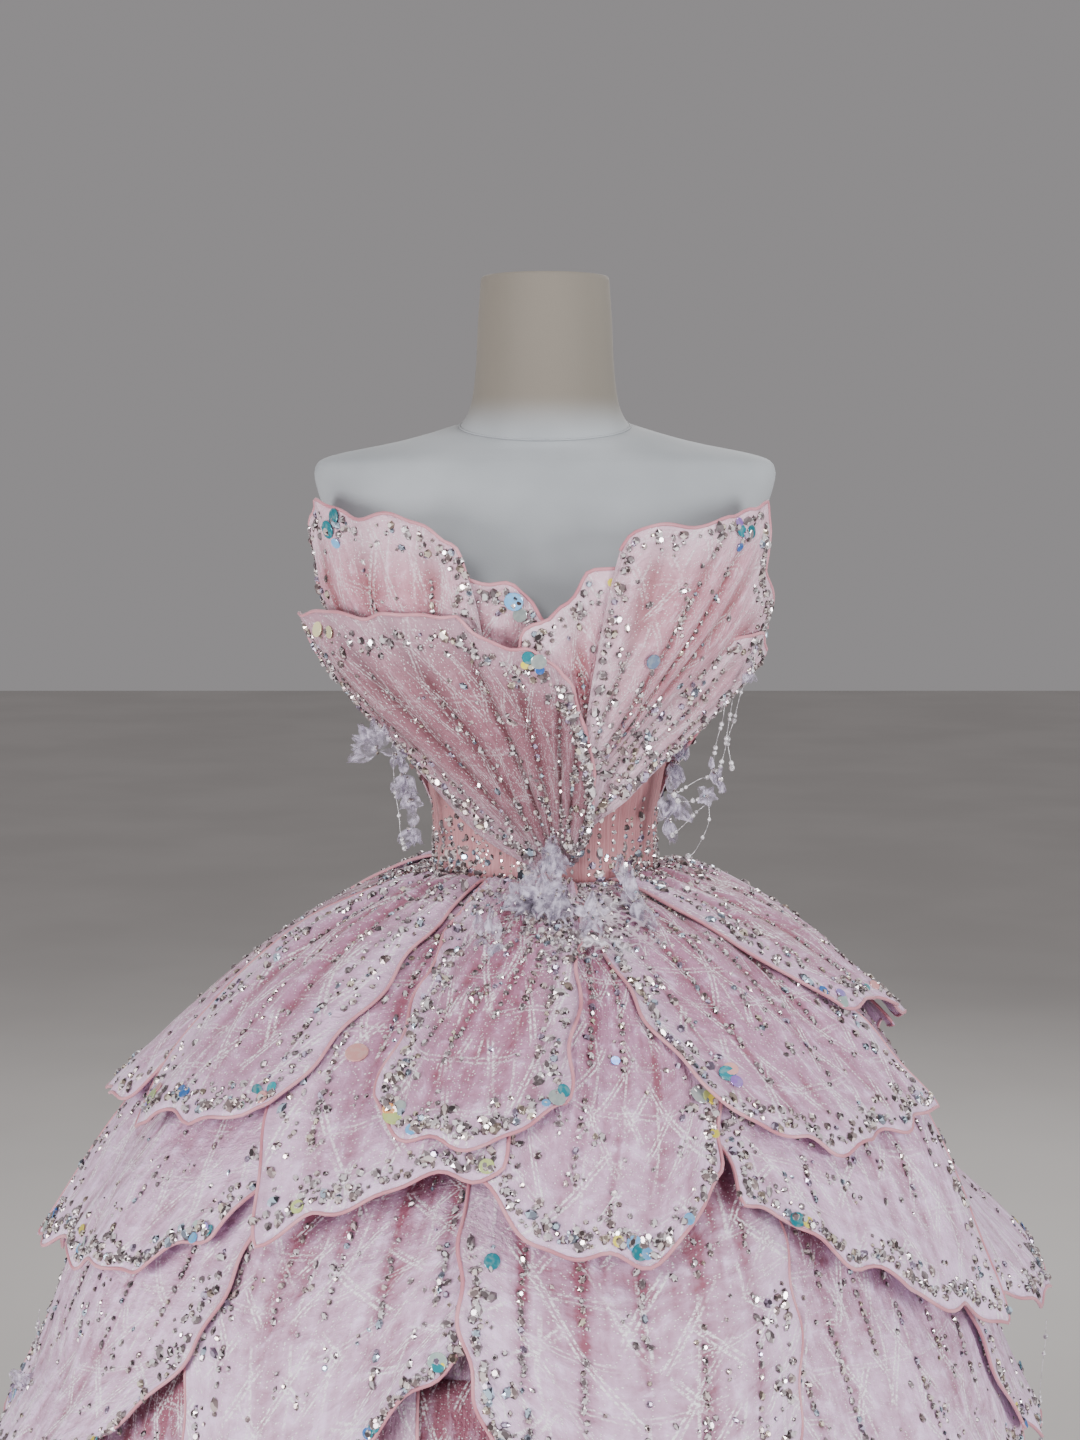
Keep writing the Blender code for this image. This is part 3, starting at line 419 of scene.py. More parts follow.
def skirt_layer_height(azimuth, length, tier, layer):
    """Height of a petal's inside over the underskirt: root, layer, rise and shared waves."""
    below = np.maximum(length - TIER_ROOT[tier], 0.0)
    step = ROOT_STEP[tier] + ((LAYER_STEP[tier] - ROOT_STEP[tier])
                              * smoothstep(0.0, STEP_GROWS, below))
    return (ROOT_HEIGHT[tier] + layer * step + RISE * below + RISE_GROWTH * below ** 2
            + wave(azimuth, length) * smoothstep(0.0, WAVE_STARTS, below))


# ==== meshes and pieces
def build_mesh(name, points, faces, uv=None, traits=None, face_colours=None, smooth=True):
    """Arrays put straight into a mesh.

    faces is a list of (n, corners) index arrays. If the closed form's signed volume,
    the sum of a . (b x c) / 6 over its triangles, is negative, every face is turned.
    uv: a pair for each point. traits: three numbers for each point.
    """
    volume = sum(np.einsum("ij,ij->", points[block[:, 0]],
                           np.cross(points[block[:, k]], points[block[:, k + 1]]))
                 for block in faces for k in range(1, block.shape[1] - 1))
    if volume < 0:
        faces = [block[:, ::-1] for block in faces]
    corners = np.concatenate([block.ravel() for block in faces]).astype(np.int32)
    sizes = np.concatenate([np.full(len(block), block.shape[1]) for block in faces])
    starts = np.concatenate([[0], np.cumsum(sizes)[:-1]]).astype(np.int32)
    mesh = bpy.data.meshes.new(name)
    mesh.vertices.add(len(points))
    mesh.vertices.foreach_set("co", np.ascontiguousarray(points, np.float32).ravel())
    mesh.loops.add(len(corners))
    mesh.loops.foreach_set("vertex_index", corners)
    mesh.polygons.add(len(starts))
    mesh.polygons.foreach_set("loop_start", starts)
    mesh.update(calc_edges=True)
    if uv is not None:
        layer = mesh.uv_layers.new(name="cloth_map")
        layer.uv.foreach_set("vector", np.asarray(uv, np.float32)[corners].ravel())
    if traits is not None:
        layer = mesh.attributes.new("traits", "FLOAT_VECTOR", "POINT")
        layer.data.foreach_set("vector", np.asarray(traits, np.float32).ravel())
    if face_colours is not None:
        colours = np.repeat(face_colours, sizes, axis=0)
        colours = np.concatenate([colours, np.ones((len(colours), 1))], axis=1)
        layer = mesh.color_attributes.new("facet_colour", "FLOAT_COLOR", "CORNER")
        layer.data.foreach_set("color", colours.astype(np.float32).ravel())
    mesh.polygons.foreach_set("use_smooth", np.full(len(starts), smooth))
    return mesh


def add_piece(mesh, finish, nodes=()):
    """A piece named as its mesh, in one of the FINISHES; it rides on the part's only body."""
    piece = bpy.data.objects.new(mesh.name, mesh)
    bpy.context.scene.collection.objects.link(piece)
    mesh.materials.append(FINISHES[finish])
    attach(piece, "root")
    if nodes:
        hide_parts(*nodes)
    return piece


def add_arrays(name, arrays, finish, nodes=()):
    """A piece from its points and faces."""
    add_piece(build_mesh(name, *arrays), finish, nodes)


def grid_quads(rows, columns, first=0, around=False):
    """Quads of a grid whose points run row by row; around joins its last column to its first."""
    index = first + np.arange(rows * columns).reshape(rows, columns)
    if around:
        index = np.concatenate([index, index[:, :1]], axis=1)
    return np.stack([index[:-1, :-1], index[:-1, 1:], index[1:, 1:], index[1:, :-1]],
                    axis=-1).reshape(-1, 4)


def shell_arrays(inner, outer):
    """The points and faces of a thin closed shell between two sheets, (rows, columns, 3)."""
    rows, columns = inner.shape[:2]
    count = rows * columns
    index = np.arange(count).reshape(rows, columns)
    edge = np.concatenate([index[0, :-1], index[:-1, -1], index[-1, :0:-1], index[:0:-1, 0]])
    following = np.roll(edge, -1)
    strip = np.stack([edge, edge + count, following + count, following], axis=1)
    faces = [grid_quads(rows, columns)[:, ::-1], grid_quads(rows, columns, count), strip[:, ::-1]]
    return np.concatenate([inner.reshape(-1, 3), outer.reshape(-1, 3)]), faces


def add_cloth(node, inner, outer, uv, traits, finish):
    """The shell between two sheets in place of a node; it also works out the size its cut has."""
    mesh = build_mesh("cloth_" + node, *shell_arrays(inner, outer),
                      np.tile(uv.reshape(-1, 2), (2, 1)), np.tile(traits.reshape(-1, 3), (2, 1)))
    piece = add_piece(mesh, finish, (node,))
    flat, area = flat_size(outer)
    area = min(max(area, LEAST_FILL * flat[0] * flat[1]), flat[0] * flat[1])


def flat_size(points):
    """(width, length), area of a sheet of points (rows, columns, 3): its longest row, its
    longest column and the sum of its cells' cross products."""
    width = np.linalg.norm(np.diff(points, axis=1), axis=2).sum(axis=1).max()
    length = np.linalg.norm(np.diff(points, axis=0), axis=2).sum(axis=0).max()
    first = points[1:, 1:] - points[:-1, :-1]
    second = points[1:, :-1] - points[:-1, 1:]
    area = float(np.linalg.norm(np.cross(first, second), axis=2).sum() / 2)
    return (round(float(width), 3), round(float(length), 3)), area


def tube_arrays(path, radius, sides, guide=None):
    """Rings of a tube with closed ends: at each point of the path, sides places at an even
    turn in the plane of two axes, the guide made square to the path and their cross product."""
    along = unit(np.gradient(path, axis=0))
    if guide is None:
        guide = np.broadcast_to([0.31, 0.84, 0.44], path.shape)
    first = unit(guide - np.sum(guide * along, axis=1, keepdims=True) * along)
    second = np.cross(along, first)
    turn = np.linspace(0, 2 * math.pi, sides, endpoint=False)[None, :, None]
    radius = np.broadcast_to(radius, (len(path),))[:, None, None]
    rings = path[:, None] + radius * (np.cos(turn) * first[:, None] + np.sin(turn) * second[:, None])
    return ring_arrays(rings)


def ring_arrays(rings):
    """A closed skin through rings of as many points each, with a flat face at each end."""
    rows, sides = len(rings), len(rings[0])
    around = np.arange(sides)
    return (np.concatenate(rings), [grid_quads(rows, sides, 0, True),
                                    np.stack([around[::-1], (rows - 1) * sides + around])])


def join_arrays(parts):
    """Many (points, faces) pairs as one, each block's indices moved on by the points before it."""
    points = np.concatenate([part[0] for part in parts])
    first = np.concatenate([[0], np.cumsum([len(part[0]) for part in parts])[:-1]])
    blocks = {}
    for start, (_, faces) in zip(first, parts):
        for block in faces:
            blocks.setdefault(block.shape[1], []).append(block + start)
    return points, [np.concatenate(found) for found in blocks.values()]


def even_path(path, spacing):
    """The path's places at an even spacing along it."""
    length = path_lengths(path)
    stations = np.linspace(0, length[-1], max(int(length[-1] / spacing) + 1, 3))
    return line_at(stations, length, path)


def soften(path, times):
    """A path rounded at its corners: each inner point averaged with its neighbours, repeatedly."""
    for _ in range(times):
        path = np.concatenate([path[:1], (path[:-2] + 2 * path[1:-1] + path[2:]) / 4, path[-1:]])
    return path


# ==== shaders
class Wire:
    """One output socket. Operators on it add Math nodes and give the next wire."""

    def __init__(self, surface, socket):
        self.surface, self.socket = surface, socket

    def maths(self, operation, *others, clamp=False):
        values = {0: self, **{k + 1: other for k, other in enumerate(others)}}
        return self.surface.node("ShaderNodeMath", {"operation": operation, "use_clamp": clamp},
                                 values)

    def __add__(self, other): return self.maths("ADD", other)
    def __radd__(self, other): return self.maths("ADD", other)
    def __mul__(self, other): return self.maths("MULTIPLY", other)
    def __rmul__(self, other): return self.maths("MULTIPLY", other)
    def __sub__(self, other): return self.maths("SUBTRACT", other)
    def __rsub__(self, other): return self.maths("MULTIPLY", -1.0).maths("ADD", other)
    def __truediv__(self, other): return self.maths("DIVIDE", other)
    def __pow__(self, other): return self.maths("POWER", other)
    def __lt__(self, other): return self.maths("LESS_THAN", other)
    def __gt__(self, other): return self.maths("GREATER_THAN", other)

    def clamped(self):
        return self.maths("ADD", 0.0, clamp=True)

    def ramp(self, low, high):
        """0 at low, 1 at high, an even curve between; low may be above high."""
        return self.surface.node(
            "ShaderNodeMapRange", {"interpolation_type": "SMOOTHSTEP", "clamp": True},
            {"Value": self, "From Min": low, "From Max": high})


class Arrow(Wire):
    """A vector wire."""

    def __add__(self, other):
        made = self.surface.node("ShaderNodeVectorMath", {"operation": "ADD"}, {0: self, 1: other})
        return Arrow(self.surface, made.socket)

    def __mul__(self, size):
        made = self.surface.node("ShaderNodeVectorMath", {"operation": "SCALE"},
                                 {0: self, "Scale": size})
        return Arrow(self.surface, made.socket)


class Surface:
    """A material with one Principled shader and one way to add any other node."""

    def __init__(self, name, **constants):
        self.material = bpy.data.materials.new(name)
        self.material.use_nodes = True
        self.tree = self.material.node_tree
        self.shader = self.tree.nodes["Principled BSDF"]
        for key, value in constants.items():
            self.shader.inputs[key.replace("_", " ").title().replace("Ior", "IOR")
                               ].default_value = value
        self.material.diffuse_color = (0.7, 0.5, 0.55, 1.0)

    def node(self, kind, settings=None, values=None, output=0):
        """A node of a type, its settings, its sockets' values or wires; gives one output."""
        made = self.tree.nodes.new(kind)
        for key, value in (settings or {}).items():
            setattr(made, key, value)
        for key, value in (values or {}).items():
            if isinstance(value, Wire):
                self.tree.links.new(value.socket, made.inputs[key])
            else:
                made.inputs[key].default_value = value
        return Wire(self, made.outputs[output])

    def mix(self, share, *ends):
        """A colour between two, by share; a plain one is given in sRGB, 0 to 255."""
        first, second = (end if isinstance(end, Wire) else linear(*end) for end in ends)
        return self.node("ShaderNodeMix", {"data_type": "RGBA"}, {0: share, 6: first, 7: second}, 2)

    def noise(self, place, scale, detail, roughness=0.5):
        return self.node("ShaderNodeTexNoise", None,
                         {"Vector": place, "Scale": scale, "Detail": detail,
                          "Roughness": roughness})

    def cloud(self, scale, detail=2.0):
        """Noise over the place in the row frame."""
        return self.noise(self.spot(), scale, detail)

    def cells(self, place, scale, output="Distance"):
        return self.node("ShaderNodeTexVoronoi", None, {"Vector": place, "Scale": scale}, output)

    def cloth_map(self):
        """The piece's own map, in metres across and down the cloth."""
        return self.node("ShaderNodeUVMap", {"uv_map": "cloth_map"})

    def vector(self, x, y, z):
        """A vector wire of three numbers or wires; + and * on it work on all three."""
        made = self.node("ShaderNodeCombineXYZ", None, {0: x, 1: y, 2: z})
        return Arrow(self, made.socket)

    def spot(self):
        """The place in the row frame."""
        return self.node("ShaderNodeTexCoord", None, None, "Object")

    def parts(self, vector):
        """The three numbers of a vector."""
        made = self.tree.nodes.new("ShaderNodeSeparateXYZ")
        self.tree.links.new(vector.socket, made.inputs[0])
        return [Wire(self, socket) for socket in made.outputs]

    def attribute(self, name, output):
        return self.node("ShaderNodeAttribute", {"attribute_name": name}, None, output)

    def traits(self):
        return self.parts(self.attribute("traits", "Vector"))

    def bump(self, height, strength, distance):
        return self.node("ShaderNodeBump", None,
                         {"Height": height, "Strength": strength, "Distance": distance})

    def wear(self, **wires):
        """Link wires to the shader's sockets."""
        for key, wire in wires.items():
            self.tree.links.new(wire.socket, self.shader.inputs[key.replace("_", " ").title()])
        return self.material


def linear(red, green, blue):
    """An sRGB colour, 0 to 255, as the linear colour a socket takes."""
    return tuple((c / 255 / 12.92) if c <= 10 else ((c / 255 + 0.055) / 1.055) ** 2.4
                 for c in (red, green, blue)) + (1.0,)


def dashed_line(place, cell, width, gaps, pair=0.0):
    """Lines a cell apart along a value: 1 within width of a whole number, broken where gaps is
    low. With pair they are double, that far to each side."""
    distance = ((place / cell).maths("FRACT") - 0.5).maths("ABSOLUTE") * cell
    if pair:
        distance = (distance - pair).maths("ABSOLUTE")
    return distance.ramp(width, width * 0.35) * gaps


GLITTER_CELL = 0.029        # from one glitter line to the next


def glitter_net(surface, across, down, seed):
    """Speckled glitter lines: two double slanting families, whose slant differs from piece to
    piece, an upright one and a level one, all bent by noise and broken by a coarse one, with
    dots picked from small cells."""
    place = surface.vector(across, down, seed)
    bend = (surface.noise(place, 9.0, 1.0) - 0.5) * 0.020
    speckle = surface.noise(place, 460.0, 2.0).ramp(0.45, 0.55)
    patch = surface.noise(place, 24.0, 1.0).ramp(0.45, 0.56)
    patch_two = surface.noise(place, 21.0, 1.0, 0.3).ramp(0.55, 0.44)
    slant = (seed * 0.37).maths("FRACT") * 0.45 + 0.28
    one = dashed_line(across + down * slant + bend, GLITTER_CELL, 0.0014, patch, 0.0019)
    two = dashed_line(down * slant - across + bend, GLITTER_CELL * 1.12, 0.0014, patch_two,
                      0.0018)
    upright = dashed_line(across + bend * 1.4 + 0.011, GLITTER_CELL * 0.86, 0.0014, patch)
    level = dashed_line(down + bend * 1.2, GLITTER_CELL * 1.3, 0.0011, patch_two, 0.0018)
    lines = (one.maths("MAXIMUM", two).maths("MAXIMUM", upright * 0.8)
             .maths("MAXIMUM", level * 0.6) * (speckle * 0.85 + 0.15))
    picked = surface.parts(surface.cells(place, 430.0, "Color"))[0] > 0.80
    dots = surface.cells(place, 430.0).ramp(0.34, 0.18) * picked
    fine = surface.parts(surface.cells(place, 800.0, "Color"))[1] > 0.85
    dots = dots.maths("MAXIMUM", surface.cells(place, 800.0).ramp(0.42, 0.26) * fine)
    return lines, dots


def organza(name, lining_and_shade, veil, shine, net_strength, pale_edge=0.036, crumpled=1.0):
    """Sheer organza over a lining. Where the valley trait is high, in the folds' valleys and
    under the layers above, painted shade gives the darker lining colour; the veil lies on the
    ridges and turns paler towards the bottom of the skirt. A painted highlight in the shine
    colour lies on crumpled crests; near the free edge the single layer is paler in the same
    colour, with glitter lines and dots over all of it."""
    surface = Surface(name, roughness=0.5, sheen_weight=0.25, sheen_roughness=0.4)
    valley, edge, seed = surface.traits()
    across, down, _ = surface.parts(surface.cloth_map())
    place = surface.vector(across, down, seed)
    cloud = surface.noise(place, 13.0, 3.0, 0.55)
    crumple = surface.noise(place + surface.vector(cloud, cloud, 0.0) * 0.04, 74.0, 4.0, 0.62)
    streak = surface.noise(surface.vector(across * 150.0, down * 13.0, seed), 1.0, 3.0)
    # Painted shade: a low share gives the lining_and_shade colour in valleys and under other layers;
    # cloud, streak and crumple noise vary the tone.
    share = (0.93 - valley * 1.25 + (cloud - 0.5) * 0.9 + (streak - 0.5) * 0.8
             + (crumple - 0.5) * 1.6 * crumpled)
    # The veil turns paler towards the bottom of the skirt.
    low = surface.parts(surface.spot())[2].ramp(1.02, 0.78)
    base = surface.mix(share.clamped(), lining_and_shade, surface.mix(low * 0.62, veil, shine))
    # Painted highlight: the shine colour on crumpled crests.
    crest_highlight = ((crumple - 0.54) * 6.0 + (streak - 0.5) * 2.2 - valley).clamped()
    base = surface.mix(crest_highlight * 0.7 * crumpled, base, shine)
    near_edge = edge.ramp(pale_edge, 0.004)
    base = surface.mix((near_edge * (0.10 + cloud * 0.70)).clamped(), base, shine)
    lines, dots = glitter_net(surface, across, down, seed)
    base = surface.mix(lines * net_strength, base, (252, 248, 254))
    # The glitter's specks in near white: their own colour, and a painted glint.
    base = surface.mix(dots * 0.85, base, (255, 253, 255))
    rough = 0.54 - dots * 0.34 - lines * 0.16
    threads = surface.noise(place, 1400.0, 0.0)
    relief = (crumple * 2.2 + streak * 1.2 + threads * 0.06 + dots * 0.20 + lines * 0.14
              + surface.noise(place, 150.0, 2.0) * 0.35)
    return surface.wear(base_color=base, roughness=rough,
                        normal=surface.bump(relief, 0.75, 0.0026))


def make_materials():
    """Every finish of the gown, by its plain name."""
    finishes = {
        "skirt": organza("lilac_pink_organza", (142, 78, 98), (192, 140, 174), (242, 216, 250),
                         0.95),
        "bodice": organza("pleated_pink_organza", (150, 80, 90), (208, 150, 168), (248, 228, 246),
                          0.55, 0.058, 0.7),
        # The bodice's organza given darker colours for the wrap as painted shade.
        "wrap": organza("wrap_organza_darker_as_shade", (104, 54, 64), (156, 104, 118), (210, 174, 192),
                        0.42, 0.050, 0.6),
    }

    surface = Surface("rolled_pink_piping", roughness=0.42, sheen_weight=0.3)
    finishes["piping"] = surface.wear(
        base_color=surface.mix(surface.cloud(30.0).ramp(0.3, 0.7), (192, 120, 134), (212, 150, 162)),
        normal=surface.bump(surface.cloud(420.0), 0.5, 0.0006))

    surface = Surface("salmon_ruched_satin", roughness=0.42, sheen_weight=0.2)
    across, down, _ = surface.parts(surface.cloth_map())
    ruche = surface.noise(surface.vector(across * 420.0, down * 18.0, 0.0), 1.0, 3.0, 0.6)
    # Painted shade of the ruching: darker in the ruche's troughs, lighter on its ridges, with a cloud
    # of tone.
    share = (ruche * 1.5 - 0.25 + (surface.cloud(18.0) - 0.5) * 0.5).clamped()
    finishes["corset"] = surface.wear(
        base_color=surface.mix(share, (148, 82, 88), (201, 142, 147)),
        roughness=0.50 - ruche * 0.16, normal=surface.bump(ruche, 0.8, 0.0022))

    # Painted glow: the facets' painted colours also glow faintly.
    surface = Surface("crystal", roughness=0.12, metallic=0.50, coat_weight=0.6,
                      coat_roughness=0.03, emission_strength=0.14)
    facet = surface.attribute("facet_colour", "Color")
    finishes["crystal"] = surface.wear(base_color=facet, emission_color=facet)

    # Painted glow and painted highlight: the disc colours glow faintly and turn pale in patches of
    # painted shimmer.
    surface = Surface("shimmer_disc", roughness=0.16, metallic=0.30, coat_weight=0.5,
                      coat_roughness=0.05, emission_strength=0.22)
    facet = surface.attribute("facet_colour", "Color")
    share = surface.cloud(240.0, 1.0).ramp(0.42, 0.66) * 0.22
    finishes["disc"] = surface.wear(
        emission_color=facet, base_color=surface.mix(share, facet, (206, 214, 204)))

    # Painted reflections: the clear bead in grey and white patches.
    surface = Surface("clear_bead", roughness=0.06, coat_weight=0.8, coat_roughness=0.03)
    share = surface.cloud(300.0, 1.0).ramp(0.35, 0.65)
    finishes["bead"] = surface.wear(
        base_color=surface.mix(share, (150, 146, 150), (236, 234, 238)))

    surface = Surface("white_flower_organza", roughness=0.45, sheen_weight=0.5,
                      sheen_roughness=0.4)
    crease, cloud = surface.cloud(130.0), surface.cloud(60.0)
    finishes["flower"] = surface.wear(
        base_color=surface.mix(crease.ramp(0.38, 0.64), (168, 156, 180), (222, 214, 234)),
        alpha=(crease.ramp(0.38, 0.66) * 0.46 + cloud.ramp(0.4, 0.6) * 0.20 + 0.07).clamped(),
        normal=surface.bump(crease, 0.6, 0.0012))

    surface = Surface("flower_net", roughness=0.5, sheen_weight=0.3)
    _, edge, _ = surface.traits()
    cloud = surface.cloud(46.0, 3.0)
    veins = (surface.cloud(70.0) - 0.5).maths("ABSOLUTE").ramp(0.045, 0.012)
    finishes["net"] = surface.wear(
        base_color=surface.mix(cloud.ramp(0.35, 0.65), (214, 190, 204), (242, 236, 246)),
        alpha=((veins * 0.60 + cloud.ramp(0.50, 0.66) * 0.34) * edge.ramp(0.002, 0.024)).clamped(),
        normal=surface.bump(cloud, 0.5, 0.002))

    surface = Surface("white_form_cotton", roughness=0.85, sheen_weight=0.15)
    # Painted shadow: the neck darker and warmer from 1.425 m up.
    neck_shadow = surface.parts(surface.spot())[2].ramp(1.425, 1.465)
    cotton = surface.mix(surface.cloud(7.0, 3.0).ramp(0.3, 0.7), (150, 155, 159), (170, 175, 179))
    weave = surface.cloud(1100.0, 1.0) * 0.25 + surface.cloud(26.0)
    finishes["form"] = surface.wear(base_color=surface.mix(neck_shadow, cotton, (121, 115, 105)),
                                    normal=surface.bump(weave, 0.16, 0.003))

    surface = Surface("brushed_stand_steel", roughness=0.30, metallic=1.0)
    grain = surface.cloud(240.0, 4.0)
    finishes["stand"] = surface.wear(
        base_color=surface.mix(grain.ramp(0.3, 0.7), (176, 178, 182), (206, 207, 210)),
        roughness=0.24 + grain * 0.16, normal=surface.bump(grain, 0.1, 0.0004))

    surface = Surface("pale_floor", roughness=0.7)
    share = surface.cloud(1.2, 3.0).ramp(0.3, 0.7)
    finishes["floor"] = surface.wear(
        base_color=surface.mix(share, (206, 202, 198), (214, 210, 206)))
    return finishes


FINISHES = make_materials()


# ==== petal surfaces
class Cloth:
    """A sheet as a surface: u across from -1 to 1, v from 0 at the sewn end to 1 at the free one."""

    fanned, edge_start = False, 0.0

    def half_width(self, v):
        return (self.root_width + (self.width - self.root_width) * v) / 2

    def cloth_map(self, u, v):
        return np.stack([u * self.width / 2, v * self.length], axis=-1)

    def traits(self, u, v):
        """How much painted shade it gets, as deep in a fold's valley or under another layer, the
        distance to the free edge in metres, a number of its own.
        """
        edge = np.minimum((1 - v) * self.length,
                          (1 - np.abs(u)) * self.half_width(v) + self.edge_start)
        return np.stack([np.clip(self.valley(u, v), 0, 1), edge, np.full_like(u, self.number)],
                        axis=-1)

    def creases(self, u, v):
        return crinkle(u * self.width / 2, v * self.length, self.number)


class SkirtPetal(Cloth):
    """A skirt petal, whose place is the guiding skirt surface at a height made of the layer's
    own height, the solid's broad folds, fine folds with sharp valleys, a hem that ruffles out,
    turned corners and creases. Its free edges wander in scallops."""

    def __init__(self, values, number):
        vars(self).update(zip(PETAL_COLUMNS, values))
        self.number, self.phase = number, 2.4 * number
        self.root = TIER_ROOT[self.tier] - ROOT_REACH
        self.hem_line = curve_through(np.asarray(self.hem)[:, None], 161)[:, 0]
        self.width = (math.radians(self.right[2] - self.left[2])
                      * float(skirt_radius(self.hem[2])))
        self.length = self.hem[2] - self.root
        self.root_width = (math.radians(self.right[0] - self.left[0])
                           * float(skirt_radius(self.root)))
        self.folds = max(6, int(round(self.width / FINE_FOLD_WIDTH)))
        self.on_top = self.layer == 2 or self.tier >= 3 and self.layer == 1
        self.fanned = self.name == "petal_1_front"

    def away(self):
        """How many degrees from the centre front the petal's middle is."""
        return abs(sum(self.left + self.right)) / 6

    def drift(self, v):
        """How far the fine folds wander sideways on their way down."""
        return 0.55 * np.sin(2.6 * v + self.phase)

    def fan(self, v):
        """The folds' spread: the front petal's draw together to its right side at the root."""
        return 0.40 + 0.60 * smoothstep(-0.1, 0.9, v) if self.fanned else 1.0 + 0.0 * v

    def ridge(self, u, v):
        """1 on a fine fold's ridge, 0 in its valley: |sin|^0.7."""
        u = 1 - (1 - u) / self.fan(v)
        return np.abs(np.sin(math.pi * self.folds * (u + 1) / 2 + self.drift(v))) ** 0.7

    def valley_line(self, number, v):
        """The u of a valley: where the sine of the fine folds is 0."""
        return 1 - self.fan(v) * (2 - 2 * (number - self.drift(v) / math.pi) / self.folds)

    def gather(self, u):
        """1 between the small pleats at the waist, 0 on them."""
        return np.abs(np.sin(math.pi * self.folds * (u + 1) + 1.1 + self.phase))

    def fold_strength(self, v):
        waist, rest = (1.6, 0.32) if self.tier == 1 else (0.7, 0.20)
        return smoothstep(0.0, 0.06, v) * (waist * np.exp(-3.4 * v) + rest)

    # Painted shade: darker in the fine folds' valleys, between the small pleats near the root, near
    # the roots of the lower tiers under the petals above, in the broad folds' hollows, and over all of
    # the front petal.
    def valley(self, u, v):
        broad = 0.5 + 0.5 * np.cos(math.pi * self.broad_folds * (u + 1))
        valley = ((1 - self.ridge(u, v)) ** 1.5 * np.minimum(1.1 * self.fold_strength(v), 1.0)
                  + (0.42 + 0.85 * (1 - self.gather(u))) * np.exp(-4.4 * v)
                  + 0.30 * (self.tier > 1) * np.exp(-6.0 * v))
        return valley + 0.20 * broad * np.sin(math.pi * np.clip(v, 0, 1)) + 0.16 * self.fanned

    def place(self, u, v, lift=0.0):
        turn = math.pi * (self.width / SCALLOP_LENGTH) * u + self.phase
        hem = np.interp(u, np.linspace(-1, 1, 161), self.hem_line)
        scallop = 1.3 * HEM_SCALLOP * (0.62 * np.sin(turn) + 0.38 * np.sin(1.83 * turn + 1.1))
        length = self.root + (hem - self.root) * v + scallop * np.clip(v, 0, 2) ** 6
        left, right = three_point(self.left, v), three_point(self.right, v)
        azimuth = left + (right - left) * (u + 1) / 2
        side = np.sin(2 * math.pi * self.length / SCALLOP_LENGTH * v + self.phase)
        azimuth = azimuth + (np.degrees(SIDE_SCALLOP / skirt_radius(length)) * side * np.sign(u)
                             * np.abs(u) ** 8 * smoothstep(0.12, 0.4, v))
        down = np.clip(v, 0, 1)
        broad = 0.5 - 0.5 * np.cos(math.pi * self.broad_folds * (u + 1))
        fine = FINE_FOLD_DEPTH * (3.4 if self.on_top else 1.3)
        inside = np.clip(1 - u ** 2, 0, 1) ** 2
        ruffle = 0.5 + 0.5 * np.sin(1.31 * turn + 2.0)
        rim = smoothstep(0.80, 1.0, np.abs(u)) * smoothstep(0.15, 0.5, v)
        height = (
            skirt_layer_height(azimuth, length, self.tier, self.layer)
            + self.depth * np.clip(1 - u ** 4, 0, 1) * np.sin(math.pi * down) ** 0.5 * broad
            + fine * self.ridge(u, v) * self.fold_strength(v)
            + self.on_top * 0.0028 * self.gather(u) * smoothstep(0.0, 0.05, v) * np.exp(-4.0 * down)
            + self.curl * smoothstep(CURL_STARTS, 1.0, v) * inside
            + HEM_RUFFLE * ruffle * smoothstep(0.74, 1.0, v) ** 2
            + self.on_top * SIDE_RUFFLE * rim * (0.5 + 0.5 * np.sin(17.0 * v + self.phase))
            + self.tip_left * down ** 4 * ((1 - u) / 2) ** 3
            + self.tip_right * down ** 4 * ((1 + u) / 2) ** 3
            + 0.0007 * self.creases(u, v))
        return skirt_point(azimuth, length, height + lift)

    def grid(self):
        step = FINE_STEP if self.tier <= 3 and self.away() < 75 else 0.0085
        return (int(np.clip(self.length / step * 0.66, 22, 52)),
                int(np.clip(self.width / step * 0.95, 30, 72)))


# Roots carried on, flat on the corset, to under the wrap's edge
BODICE_REACH = {
    "bodice_right_outer": ((14, 0.070), (21, 0.064)),
    "bodice_right_lobe": ((17, 0.062), (22, 0.048)),
}


